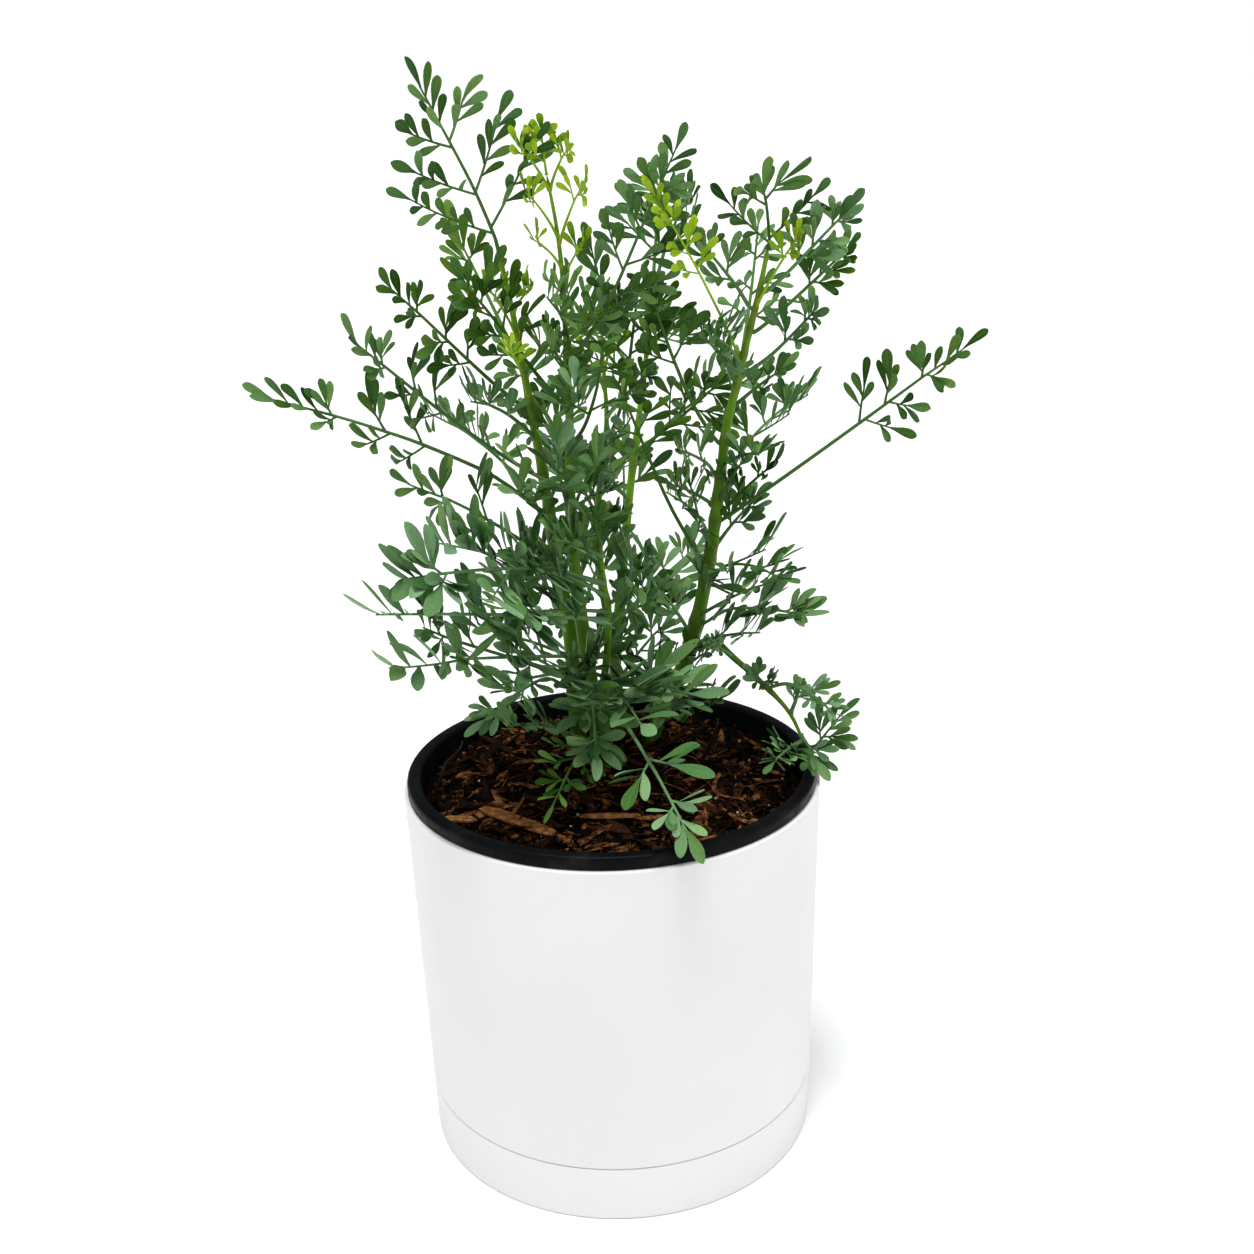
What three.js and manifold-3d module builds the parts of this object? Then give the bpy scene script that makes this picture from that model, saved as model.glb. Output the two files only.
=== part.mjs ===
// A potted rue plant: a white planter in a flush saucer, a black grower's pot with a rolled lip, potting mix with
// bark chips on it, green canes that rise from the mix, and divided leaves on the canes.
// Millimetres, +Z up, origin at the centre of the saucer's flat underside, +Y towards the back of the plant.
import * as THREE from "three";
import { mergeVertices } from "three/addons/utils/BufferGeometryUtils.js";
import Module from "manifold-3d";

const wasm = await Module();
wasm.setup();

// ---- driving dimensions ----
const GAP = 0.3; // between pieces that rest on each other
const ROUND_STEPS = 64; // steps round a pot

const SAUCER = { radius: 86.5, height: 25.6, wall: 3, floor: 3, flare: 0.7 };
const PLANTER = { topRadius: 90.5, height: 165.8, wall: 3, floor: 3, footGap: 0.6, footLift: 5, drainRadius: 7 };
const NURSERY = { lipRadius: 89, lipWidth: 6, lipHeight: 5.6, lipRound: 1.6, wall: 1.5, baseRadius: 66, floor: 2 };
const NURSERY_DRAIN = { count: 6, radius: 4.5, ring: 42 };
const MIX = { level: 162, mound: 6, moundSpread: 24, ripple: 1.1, crown: [3, 38], rings: 7, spokes: 36 };
const CANE = { sides: 8, steps: 13 };
const LEAF = { stalkHalf: 1.1, thickTop: 0.8, thickUnder: 0.7, footStand: 0.9, tipHalf: 0.5, faceRise: 40 };

// ---- helpers ----
const vec = (x, y, z) => new THREE.Vector3(x, y, z);
const onPlant = new THREE.Group();

function material(color, roughness) {
  return new THREE.MeshStandardMaterial({ color, roughness, metalness: 0 });
}

function addMesh(name, geometry, finish) {
  const mesh = new THREE.Mesh(geometry, finish);
  mesh.name = name;
  onPlant.add(mesh);
}

// A lathe about +Z of a closed outline of [radius, height] pairs, listed counterclockwise with the radius across.
function turned(outline) {
  const points = [...outline, outline[0]].map(([radius, height]) => new THREE.Vector2(radius, height));
  return new THREE.LatheGeometry(points, ROUND_STEPS).rotateX(Math.PI / 2);
}

// A closed body through rings of points that run anticlockwise about the way forward. Neighbouring sides take
// mirrored diagonals, so that the left and right of a leaf are alike.
function loft(rings) {
  const sides = rings[0].length;
  const index = [];
  const at = (ring, side) => ring * sides + (side % sides);
  for (let ring = 0; ring + 1 < rings.length; ring += 1) {
    for (let side = 0; side < sides; side += 1) {
      const [a, b] = [at(ring, side), at(ring, side + 1)];
      const [c, d] = [at(ring + 1, side + 1), at(ring + 1, side)];
      if (side % 2 === 0) index.push(a, b, c, a, c, d);
      else index.push(a, b, d, b, c, d);
    }
  }
  const last = rings.length - 1;
  for (let side = 1; side + 1 < sides; side += 1) {
    index.push(at(0, 0), at(0, side + 1), at(0, side));
    index.push(at(last, 0), at(last, side), at(last, side + 1));
  }
  return new THREE.BufferGeometry().setFromPoints(rings.flat()).setIndex(index);
}

function toSolid(geometry) {
  const bare = new THREE.BufferGeometry();
  bare.setAttribute("position", geometry.getAttribute("position"));
  bare.setIndex(geometry.index);
  const merged = mergeVertices(bare, 1e-3);
  return new wasm.Manifold(
    new wasm.Mesh({
      numProp: 3,
      vertProperties: new Float32Array(merged.attributes.position.array),
      triVerts: new Uint32Array(merged.index.array),
    }),
  );
}

function toGeometry(solid) {
  const { vertProperties, triVerts } = solid.getMesh();
  const geometry = new THREE.BufferGeometry();
  geometry.setAttribute("position", new THREE.BufferAttribute(vertProperties, 3));
  geometry.setIndex(new THREE.BufferAttribute(triVerts, 1));
  return geometry;
}

// ---- pots ----
const whitePlastic = material(0xededeb, 0.5);
const blackPlastic = material(0x1b1d21, 0.45);

function saucerGeometry() {
  const inner = SAUCER.radius - SAUCER.wall;
  const rim = SAUCER.radius + SAUCER.flare;
  return turned([
    [0, 0],
    [SAUCER.radius, 0],
    [rim, SAUCER.height],
    [rim - SAUCER.wall, SAUCER.height],
    [inner, SAUCER.floor],
    [0, SAUCER.floor],
  ]);
}

// The planter stands in the saucer on a stepped-in foot, and its shoulder sits flush on the saucer's rim.
function planterGeometry() {
  const shoulder = SAUCER.height + GAP;
  const outer = SAUCER.radius + SAUCER.flare;
  const footOuter = SAUCER.radius - SAUCER.wall - PLANTER.footGap;
  const footInner = footOuter - PLANTER.wall;
  const footBottom = SAUCER.floor + PLANTER.footLift;
  const floorTop = footBottom + PLANTER.floor;
  return turned([
    [PLANTER.drainRadius, footBottom],
    [footOuter - SAUCER.flare, footBottom],
    [footOuter - SAUCER.flare, shoulder],
    [outer, shoulder],
    [PLANTER.topRadius, PLANTER.height],
    [PLANTER.topRadius - PLANTER.wall, PLANTER.height],
    [footInner, shoulder + PLANTER.wall],
    [footInner - SAUCER.flare, floorTop],
    [PLANTER.drainRadius, floorTop],
  ]);
}

const NURSERY_TOP = PLANTER.height + GAP + NURSERY.lipHeight;
const NURSERY_BASE = SAUCER.floor + PLANTER.footLift + PLANTER.floor + GAP;
const NURSERY_THROAT = NURSERY.lipRadius - NURSERY.lipWidth;

// Inner radius of the tapered grower's pot at a height.
function nurseryInner(height) {
  const share = (height - NURSERY_BASE) / (NURSERY_TOP - NURSERY_BASE);
  return NURSERY.baseRadius - NURSERY.wall + share * (NURSERY_THROAT - NURSERY.baseRadius + NURSERY.wall);
}

// The grower's pot hangs by its rolled lip on the planter's rim.
function nurseryGeometry() {
  const under = PLANTER.height + GAP;
  const { lipRadius, lipRound, wall } = NURSERY;
  const shell = turned([
    [0, NURSERY_BASE],
    [NURSERY.baseRadius, NURSERY_BASE],
    [nurseryInner(under) + wall, under],
    [lipRadius, under],
    [lipRadius, NURSERY_TOP - lipRound],
    [lipRadius - lipRound, NURSERY_TOP],
    [NURSERY_THROAT + lipRound, NURSERY_TOP],
    [NURSERY_THROAT, NURSERY_TOP - lipRound],
    [nurseryInner(NURSERY_BASE + NURSERY.floor), NURSERY_BASE + NURSERY.floor],
    [0, NURSERY_BASE + NURSERY.floor],
  ]);
  let solid = toSolid(shell);
  for (let hole = 0; hole < NURSERY_DRAIN.count; hole += 1) {
    const angle = (2 * Math.PI * hole) / NURSERY_DRAIN.count;
    const drill = new THREE.CylinderGeometry(NURSERY_DRAIN.radius, NURSERY_DRAIN.radius, 4 * NURSERY.floor, 12)
      .rotateX(Math.PI / 2)
      .translate(NURSERY_DRAIN.ring * Math.cos(angle), NURSERY_DRAIN.ring * Math.sin(angle), NURSERY_BASE);
    solid = solid.subtract(toSolid(drill));
  }
  return toGeometry(solid);
}

// ---- potting mix and bark ----
const darkMix = material(0x2c1a12, 0.95);
const barkFinish = material(0x8a5430, 0.85);

// Height of the mix: a low mound round the crown of the plant, with shallow ripples.
function mixHeight(x, y) {
  const [cx, cy] = MIX.crown;
  const away = ((x - cx) ** 2 + (y - cy) ** 2) / (2 * MIX.moundSpread ** 2);
  const ripple = Math.sin(x * 0.11 + 0.7) * Math.cos(y * 0.13 - 0.4);
  return MIX.level + MIX.mound * Math.exp(-away) + MIX.ripple * ripple;
}

function mixGeometry() {
  const bottom = NURSERY_BASE + NURSERY.floor + GAP;
  const shrink = 2 * GAP;
  const position = [];
  const index = [];
  const addRing = (radius, height) => {
    for (let spoke = 0; spoke < MIX.spokes; spoke += 1) {
      const angle = (2 * Math.PI * spoke) / MIX.spokes;
      const [x, y] = [radius * Math.cos(angle), radius * Math.sin(angle)];
      position.push(x, y, height === null ? mixHeight(x, y) : height);
    }
  };
  addRing(nurseryInner(bottom) - shrink, bottom);
  const topRadius = nurseryInner(MIX.level) - shrink;
  for (let ring = MIX.rings; ring > 0; ring -= 1) addRing((topRadius * ring) / MIX.rings, null);
  const bottomCentre = position.length / 3;
  position.push(0, 0, bottom);
  position.push(0, 0, mixHeight(0, 0));
  for (let spoke = 0; spoke < MIX.spokes; spoke += 1) {
    const next = (spoke + 1) % MIX.spokes;
    index.push(bottomCentre, next, spoke);
    for (let ring = 0; ring < MIX.rings; ring += 1) {
      const [low, high] = [ring * MIX.spokes, (ring + 1) * MIX.spokes];
      index.push(low + spoke, low + next, high + next, low + spoke, high + next, high + spoke);
    }
    const inner = MIX.rings * MIX.spokes;
    index.push(bottomCentre + 1, inner + spoke, inner + next);
  }
  const geometry = new THREE.BufferGeometry();
  geometry.setAttribute("position", new THREE.Float32BufferAttribute(position, 3));
  return geometry.setIndex(index);
}

// A splinter of bark: a long flake with broken ends, lying on the mix at [x, y] and turned in plan.
function chipGeometry({ at: [x, y], length, width, thick, turn }) {
  const [l, w] = [length / 2, width / 2];
  const outline = new THREE.Shape([
    new THREE.Vector2(-l, -w * 0.4),
    new THREE.Vector2(-l * 0.7, -w),
    new THREE.Vector2(l * 0.8, -w * 0.8),
    new THREE.Vector2(l, 0),
    new THREE.Vector2(l * 0.75, w),
    new THREE.Vector2(-l * 0.85, w * 0.7),
  ]);
  const angle = THREE.MathUtils.degToRad(turn);
  const reach = [-1, -0.5, 0, 0.5, 1].flatMap((share) => {
    const [cx, cy] = [x + l * share * Math.cos(angle), y + l * share * Math.sin(angle)];
    return [-w, 0, w].map((side) => mixHeight(cx - side * Math.sin(angle), cy + side * Math.cos(angle)));
  });
  const rest = Math.max(...reach) + 2 * GAP;
  return new THREE.ExtrudeGeometry(outline, { depth: thick, bevelEnabled: false, steps: 1 })
    .rotateZ(angle)
    .translate(x, y, rest);
}

const CHIPS = [
  { at: [-41, -38], length: 42, width: 9, thick: 2.6, turn: -45 },
  { at: [-65.5, -32.5], length: 15, width: 6, thick: 2, turn: -14 },
  { at: [-3, -38], length: 26, width: 4, thick: 2.2, turn: -7 },
];

// ---- canes ----
const caneGreen = material(0x4d7a2c, 0.55);

// Each cane's route from below the mix to its tip, with its radius at the foot and at the tip.
const CANES = {
  left_cane: {
    radius: [4, 1.5],
    route: [
      [-12, 40, 151], [-14, 40, 187], [-15, 38, 217], [-19, 35, 251], [-22, 31, 279],
      [-25, 27, 304], [-28, 24, 326], [-31, 21, 350], [-34, 19, 370], [-37, 16, 387],
    ],
  },
  middle_cane: {
    radius: [4, 0.9],
    route: [
      [-3, 33, 151], [-6, 29, 189], [-9, 25, 219], [-12, 22, 253], [-13, 19, 284],
      [-12, 17, 312], [-12, 16, 333], [-12, 15, 362], [-13, 13, 390], [-17, 11, 419],
    ],
  },
  inner_cane: {
    radius: [3, 1.1],
    route: [[6, 47, 151], [6, 48, 187], [3, 50, 220], [-1, 52, 253], [1, 52, 281], [5, 50, 308], [4, 47, 345]],
  },
  front_cane: {
    radius: [2.4, 1.2],
    route: [[1, 24, 150], [-2, 15, 195], [0, 8, 221], [1, 0, 242], [-1, -6, 257], [-2, -10, 274]],
  },
  right_cane: {
    radius: [4.2, 1.4],
    route: [
      [16, 36, 151], [24, 36, 179], [36, 35, 202], [43, 33, 229], [48, 30, 257], [52, 27, 289],
      [55, 25, 314], [59, 23, 331], [64, 20, 354], [68, 18, 371], [71, 16, 387],
    ],
  },
  back_cane: {
    radius: [3.2, 1.2],
    route: [[2, 58, 150], [8, 67, 210], [16, 80, 270], [26, 92, 330], [31, 98, 368]],
  },
  low_branch: {
    from: { cane: "right_cane", share: 0.28 },
    radius: [1.7, 1],
    route: [[48, 25, 217], [56, 18, 211], [67, 10, 202], [78, 0, 191], [84, -5, 178]],
  },
};

function caneCurve({ route }) {
  return new THREE.CatmullRomCurve3(route.map((point) => vec(...point)));
}

function caneRadius({ radius: [foot, tip] }, share) {
  return THREE.MathUtils.lerp(foot, tip, share);
}

// The point on a cane's skin at a share of its length, on the side that looks towards a target, and the way out.
function onCane(name, share, target, stand) {
  const cane = CANES[name];
  const centre = cane.curve.getPointAt(share);
  const along = cane.curve.getTangentAt(share);
  const out = target.clone().sub(centre);
  if (share < 1) out.addScaledVector(along, -out.dot(along));
  else out.copy(along);
  out.normalize();
  const skin = share < 1 ? caneRadius(cane, share) : 0;
  return { point: centre.addScaledVector(out, skin + stand), out, along };
}

function caneGeometry(cane) {
  const frames = cane.curve.computeFrenetFrames(CANE.steps, false);
  const rings = [];
  for (let step = 0; step <= CANE.steps; step += 1) {
    const share = step / CANE.steps;
    const centre = cane.curve.getPointAt(share);
    const radius = caneRadius(cane, share);
    const ring = [];
    for (let side = 0; side < CANE.sides; side += 1) {
      const angle = (2 * Math.PI * side) / CANE.sides;
      const point = centre.clone();
      point.addScaledVector(frames.normals[step], radius * Math.cos(angle));
      point.addScaledVector(frames.binormals[step], radius * Math.sin(angle));
      ring.push(point);
    }
    rings.push(ring);
  }
  return loft(rings);
}

// ---- leaves ----
const leafFinish = { old: material(0x3f6b4b, 0.6), young: material(0x86a52c, 0.55) };
const [FRONT, BACK] = [-90, 90];

// Each leaf: where it leaves its cane, its tip, how far its stalk bows towards its upper face, the plan direction
// that face looks to, its pairs of side sprays, the share of it that is bare stalk, and its longest side spray.
const leaf = (share, tip, bow, facing, pairs, stalk, spray, age = "old") => {
  return { share, tip, bow, facing, pairs, stalk, spray, age };
};
const LEAVES = {
  left_cane: [
    leaf(1.0, [-69, 5, 464], 3, FRONT, 3, 0.12, 48),
    leaf(0.74, [-89, 0, 388], 2, FRONT - 20, 3, 0.35, 22),
    leaf(0.61, [-104, -10, 369], -3, FRONT + 10, 3, 0.45, 24),
    leaf(0.54, [-139, -20, 344], 14, FRONT, 3, 0.45, 28),
    leaf(0.43, [-88, -12, 309], 10, FRONT - 20, 2, 0.5, 27),
    leaf(0.2, [-85, -20, 250], -6, FRONT, 2, 0.55, 22),
    leaf(0.5, [-84, 88, 318], 8, BACK + 40, 3, 0.35, 30),
    leaf(0.18, [-62, 12, 182], 10, FRONT - 30, 2, 0.5, 17),
  ],
  middle_cane: [
    leaf(0.73, [39, 5, 439], -4, FRONT + 20, 4, 0.28, 32),
    leaf(0.66, [-59, -5, 391], 3, FRONT - 10, 3, 0.36, 26),
    leaf(1.0, [-19, 7, 443], 0, FRONT, 2, 0.25, 12, "young"),
    leaf(0.71, [-24, -42, 385], 6, FRONT, 2, 0.4, 24),
    leaf(0.6, [3, -40, 372], 8, FRONT + 15, 2, 0.4, 24),
    leaf(0.37, [-52, -34, 236], 12, FRONT - 20, 2, 0.4, 27),
    leaf(0.5, [-42, -50, 304], 8, FRONT - 10, 2, 0.4, 24),
    leaf(0.16, [-8, -36, 177], 14, FRONT, 2, 0.5, 22),
  ],
  inner_cane: [
    leaf(1.0, [-1, 34, 372], 2, FRONT, 2, 0.2, 15, "young"),
    leaf(0.8, [22, 28, 386], -3, FRONT + 10, 3, 0.45, 24),
    leaf(0.62, [-44, 108, 352], 6, BACK + 25, 3, 0.35, 30),
  ],
  front_cane: [
    leaf(1.0, [-3, -29, 292], -3, FRONT, 2, 0.15, 20),
    leaf(0.86, [-96, -75, 282], 8, FRONT - 10, 2, 0.48, 36),
    leaf(0.78, [27, -42, 281], 4, FRONT + 15, 2, 0.4, 22),
    leaf(0.2, [-34, -47, 173], 12, FRONT - 10, 3, 0.42, 22),
    leaf(0.25, [29, -98, 166], 20, FRONT, 2, 0.62, 24),
  ],
  right_cane: [
    leaf(1.0, [66, 10, 426], 0, FRONT, 2, 0.08, 34),
    leaf(0.93, [109, 5, 409], 3, FRONT + 20, 3, 0.35, 19),
    leaf(0.86, [112, 24, 391], -2, FRONT + 30, 3, 0.5, 15),
    leaf(0.79, [94, 0, 371], -3, FRONT + 10, 2, 0.45, 16),
    leaf(0.9, [39, 20, 396], 2, FRONT - 10, 2, 0.4, 17),
    leaf(0.66, [19, 22, 383], -4, FRONT, 3, 0.45, 26),
    leaf(0.82, [24, 10, 419], 16, FRONT - 20, 3, 0.5, 15, "young"),
    leaf(0.52, [156, -10, 356], -2, FRONT + 15, 3, 0.52, 26),
    leaf(0.6, [25, 8, 311], 4, FRONT, 2, 0.35, 15),
    leaf(0.44, [2, -12, 354], -6, FRONT - 15, 3, 0.5, 26),
    leaf(0.47, [18, -24, 303], 6, FRONT, 2, 0.4, 24),
    leaf(0.4, [80, -27, 256], 9, FRONT + 20, 2, 0.35, 28),
    leaf(0.32, [92, -16, 238], 6, FRONT + 30, 2, 0.5, 20),
    leaf(0.16, [20, -16, 194], 9, FRONT, 3, 0.4, 27),
    leaf(0.56, [108, 84, 318], 8, BACK - 40, 3, 0.35, 30),
    leaf(0.76, [78, 84, 404], 5, BACK - 20, 3, 0.35, 26),
  ],
  back_cane: [
    leaf(1.0, [38, 112, 424], 2, BACK, 3, 0.15, 32),
    leaf(0.78, [-26, 138, 372], 5, BACK + 20, 3, 0.35, 28),
    leaf(0.62, [88, 128, 322], 7, BACK - 30, 3, 0.35, 28),
    leaf(0.45, [-22, 142, 268], 8, BACK + 20, 3, 0.35, 28),
  ],
  low_branch: [
    leaf(1.0, [107, -2, 198], 4, FRONT + 20, 1, 0.3, 16),
    leaf(0.6, [100, -16, 190], 8, FRONT + 20, 2, 0.5, 12),
  ],
};

// The outline of one side spray, as shares of its length across, forwards and up, and where it leaves the stalk in mm.
const SPRAY_OUTLINE = [
  { across: 0.38, ahead: 0.3, rise: 0.06, from: 0 },
  { across: 0.7, ahead: 0.72, rise: 0.12, from: 1.2 },
  { across: 0.35, ahead: 0.5, rise: 0.07, from: 2.4 },
];
const SPRAY_ROOT = { before: 1.6, after: 4 };
const BLADE = { taper: 0.6, spread: 0.75, endWidth: 0.2, endWidest: 0.5 };

// A divided leaf as one thin body. Its sections are flat diamonds across the stalk, and the side points of those
// at a pair of sprays reach out to the sprays' tips.
function leafGeometry(plan, tip, foot) {
  const span = tip.distanceTo(foot.point);
  const ahead = tip.clone().sub(foot.point).normalize();
  const rise = THREE.MathUtils.degToRad(LEAF.faceRise);
  const turn = THREE.MathUtils.degToRad(plan.facing);
  const face = vec(Math.cos(turn) * Math.cos(rise), Math.sin(turn) * Math.cos(rise), Math.sin(rise));
  const upperSide = (forward) => face.clone().addScaledVector(forward, -face.dot(forward)).normalize();
  const start = foot.out.clone().add(foot.along).normalize();
  const curve = new THREE.CubicBezierCurve3(
    foot.point,
    foot.point.clone().addScaledVector(start, 0.22 * span).addScaledVector(upperSide(ahead), plan.bow),
    foot.point.clone().lerp(tip, 0.62).addScaledVector(upperSide(ahead), 1.3 * plan.bow),
    tip,
  );
  const length = curve.getLength();
  const section = (share, half, forwards = 0, lift = 0, thin = 1) => {
    const centre = curve.getPointAt(share);
    const forward = curve.getTangentAt(share);
    const up = upperSide(forward);
    const right = forward.clone().cross(up);
    const side = (sign) => {
      const point = centre.clone().addScaledVector(right, sign * half);
      return point.addScaledVector(forward, forwards).addScaledVector(up, lift);
    };
    const top = centre.clone().addScaledVector(up, thin * LEAF.thickTop);
    const under = centre.clone().addScaledVector(up, -thin * LEAF.thickUnder);
    return [top, side(1), under, side(-1)];
  };
  const sections = [section(0, LEAF.stalkHalf), section(plan.stalk * 0.5, LEAF.stalkHalf)];
  for (let pair = 0; pair < plan.pairs; pair += 1) {
    const share = plan.stalk + ((1 - plan.stalk) * BLADE.spread * pair) / plan.pairs;
    const spray = plan.spray * (1 - (BLADE.taper * pair) / plan.pairs);
    sections.push(section(share - SPRAY_ROOT.before / length, LEAF.stalkHalf));
    for (const { across, ahead: forwards, rise: lift, from } of SPRAY_OUTLINE) {
      sections.push(section(share + from / length, across * spray, forwards * spray, lift * spray));
    }
    sections.push(section(share + SPRAY_ROOT.after / length, LEAF.stalkHalf));
  }
  const endShare = plan.stalk + (1 - plan.stalk) * BLADE.spread;
  const endHalf = BLADE.endWidth * (1 - endShare) * length;
  sections.push(section(endShare + (1 - endShare) * BLADE.endWidest, Math.max(endHalf, 2 * LEAF.tipHalf)));
  sections.push(section(1, LEAF.tipHalf, 0, 0, 0.4));
  return loft(sections);
}

// Small turns of a leaf about its foot, nearest first, for the leaf to find a place clear of its neighbours.
function smallTurns() {
  const turns = [];
  for (let across = -5; across <= 5; across += 1) {
    for (let up = -5; up <= 5; up += 1) turns.push([across * 3, up * 3]);
  }
  return turns.sort((a, b) => Math.hypot(...a) - Math.hypot(...b));
}

function boxesMeet(one, other) {
  return [0, 1, 2].every((axis) => one.min[axis] <= other.max[axis] && other.min[axis] <= one.max[axis]);
}

const TURNS = smallTurns();
const placed = [];

function place(name, geometry, finish) {
  const solid = toSolid(geometry);
  placed.push({ solid, box: solid.boundingBox() });
  addMesh(name, geometry, finish);
}

function isClear(solid) {
  const box = solid.boundingBox();
  return placed.every((other) => !boxesMeet(box, other.box) || solid.intersect(other.solid).isEmpty());
}

// Grows a leaf at its planned tip, turned about its foot by the least that keeps it clear of what is there already.
function growLeaf(name, caneName, plan) {
  const planned = vec(...plan.tip);
  for (const [across, up] of TURNS) {
    const root = CANES[caneName].curve.getPointAt(plan.share);
    const reach = planned.clone().sub(root);
    const level = vec(-reach.y, reach.x, 0).normalize();
    reach.applyAxisAngle(level, THREE.MathUtils.degToRad(-up));
    reach.applyAxisAngle(vec(0, 0, 1), THREE.MathUtils.degToRad(across));
    const tip = root.clone().add(reach);
    const geometry = leafGeometry(plan, tip, onCane(caneName, plan.share, tip, LEAF.footStand));
    if (isClear(toSolid(geometry))) {
      place(name, geometry, leafFinish[plan.age]);
      return;
    }
  }
  throw new Error(name + " has no clear place");
}

// ---- assembly ----
place("saucer", saucerGeometry(), whitePlastic);
place("planter", planterGeometry(), whitePlastic);
place("nursery_pot", nurseryGeometry(), blackPlastic);

for (const cane of Object.values(CANES)) {
  if (cane.from) {
    const target = vec(...cane.route[0]);
    CANES[cane.from.cane].curve ??= caneCurve(CANES[cane.from.cane]);
    const foot = onCane(cane.from.cane, cane.from.share, target, cane.radius[0]);
    cane.route.unshift(foot.point.toArray());
  }
  cane.curve = caneCurve(cane);
}

// The mix has a socket round each cane's buried foot.
let mix = toSolid(mixGeometry());
for (const cane of Object.values(CANES)) {
  const wider = { ...cane, radius: cane.radius.map((radius) => radius + GAP) };
  const below = cane.curve.getTangentAt(0).multiplyScalar(-GAP);
  mix = mix.subtract(toSolid(caneGeometry(wider).translate(below.x, below.y, below.z)));
}
place("potting_mix", toGeometry(mix), darkMix);
CHIPS.forEach((chip, number) => place("bark_chip_0" + (number + 1), chipGeometry(chip), barkFinish));

for (const [name, cane] of Object.entries(CANES)) place(name, caneGeometry(cane), caneGreen);
for (const [caneName, plans] of Object.entries(LEAVES)) {
  plans.forEach((plan, number) => {
    growLeaf(caneName + "_leaf_" + String(number + 1).padStart(2, "0"), caneName, plan);
  });
}

export default onPlant;
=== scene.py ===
import math

import bmesh
import bpy
import numpy as np
from mathutils import Matrix, Vector


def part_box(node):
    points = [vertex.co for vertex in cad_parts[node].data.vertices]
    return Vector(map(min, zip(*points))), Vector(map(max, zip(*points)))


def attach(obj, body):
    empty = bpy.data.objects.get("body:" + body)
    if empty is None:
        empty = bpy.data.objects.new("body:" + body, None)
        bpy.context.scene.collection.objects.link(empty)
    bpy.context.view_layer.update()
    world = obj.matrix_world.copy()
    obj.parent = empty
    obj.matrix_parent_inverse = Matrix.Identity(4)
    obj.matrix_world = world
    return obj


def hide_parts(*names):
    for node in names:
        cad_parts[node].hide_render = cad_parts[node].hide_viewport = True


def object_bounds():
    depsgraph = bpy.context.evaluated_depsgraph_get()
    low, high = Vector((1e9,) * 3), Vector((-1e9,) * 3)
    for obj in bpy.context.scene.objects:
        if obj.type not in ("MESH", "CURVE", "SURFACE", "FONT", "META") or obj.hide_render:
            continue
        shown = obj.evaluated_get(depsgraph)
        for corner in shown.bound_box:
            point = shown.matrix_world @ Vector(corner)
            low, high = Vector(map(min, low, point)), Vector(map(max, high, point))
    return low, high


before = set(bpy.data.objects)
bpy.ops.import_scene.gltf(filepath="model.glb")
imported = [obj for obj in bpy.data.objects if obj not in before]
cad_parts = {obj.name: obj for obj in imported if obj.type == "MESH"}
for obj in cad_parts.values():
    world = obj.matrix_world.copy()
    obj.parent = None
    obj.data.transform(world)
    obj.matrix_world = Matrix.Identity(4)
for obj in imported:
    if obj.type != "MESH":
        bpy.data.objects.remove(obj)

MM = 0.001
cad_low, cad_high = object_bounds()

# ---- camera ----
# A camera with a normal lens stands about two thirds of a metre in front of the plant, about as high as its
# top. It looks down on the plant and leans a little to one side.
CAMERA_AT = (-27.8 * MM, -629.2 * MM, 455.1 * MM)
CAMERA_LENS = 45.19
CAMERA_YAW = math.radians(3.297)
CAMERA_PITCH = math.radians(19.336)
CAMERA_ROLL = math.radians(-1.736)

looking = Vector((math.sin(CAMERA_YAW) * math.cos(CAMERA_PITCH),
                  math.cos(CAMERA_YAW) * math.cos(CAMERA_PITCH),
                  -math.sin(CAMERA_PITCH)))
level = Vector((math.cos(CAMERA_YAW), -math.sin(CAMERA_YAW), 0.0))
upright = level.cross(looking)
camera_right = math.cos(CAMERA_ROLL) * level + math.sin(CAMERA_ROLL) * upright
camera_up = math.cos(CAMERA_ROLL) * upright - math.sin(CAMERA_ROLL) * level
camera = bpy.data.objects.new("camera", bpy.data.cameras.new("camera"))
camera.data.lens = CAMERA_LENS
turned = Matrix((camera_right, camera_up, -looking)).transposed().to_4x4()
camera.matrix_world = Matrix.Translation(CAMERA_AT) @ turned
bpy.context.collection.objects.link(camera)
bpy.context.scene.camera = camera

# ---- saucer ----
# The drip saucer is a shallow dish, injection moulded in white polypropylene. Its rim is flush with the
# planter's wall, and the planter only stands in it, so a fine seam runs round where they meet.
LATHE_STEPS = 192
SAUCER_WALL = 3.0 * MM
SAUCER_FLARE = 0.7 * MM
SAUCER_FOOT_EASE = 1.4 * MM
MOULD_EASE = 0.7 * MM
EASE_STEPS = 5
EASE_SHARE = 0.45
POLE_WIDTH = 0.001 * MM
NOISE_MIDDLE = (0.3, 0.7)


def eased(profile, ease):
    """Rounds a closed profile's corners: each corner c becomes the arc (1-t)^2 a + 2t(1-t) c + t^2 b, with a
    and b on its two edges, ease away from it or at most a share of the edge. Points on the axis stay."""
    corners = np.array(profile)
    reach = np.broadcast_to(ease, len(corners))[:, None]
    back = np.roll(corners, 1, axis=0) - corners
    ahead = np.roll(corners, -1, axis=0) - corners
    back_length = np.linalg.norm(back, axis=1, keepdims=True)
    ahead_length = np.linalg.norm(ahead, axis=1, keepdims=True)
    a = corners + back * np.minimum(reach / back_length, EASE_SHARE)
    b = corners + ahead * np.minimum(reach / ahead_length, EASE_SHARE)
    t = np.linspace(0, 1, EASE_STEPS)[None, :, None]
    arcs = (1 - t) ** 2 * a[:, None] + 2 * t * (1 - t) * corners[:, None] + t ** 2 * b[:, None]
    on_axis = corners[:, 0] == 0
    return np.vstack([corners[i:i + 1] if on_axis[i] else arcs[i] for i in range(len(corners))])


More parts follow.
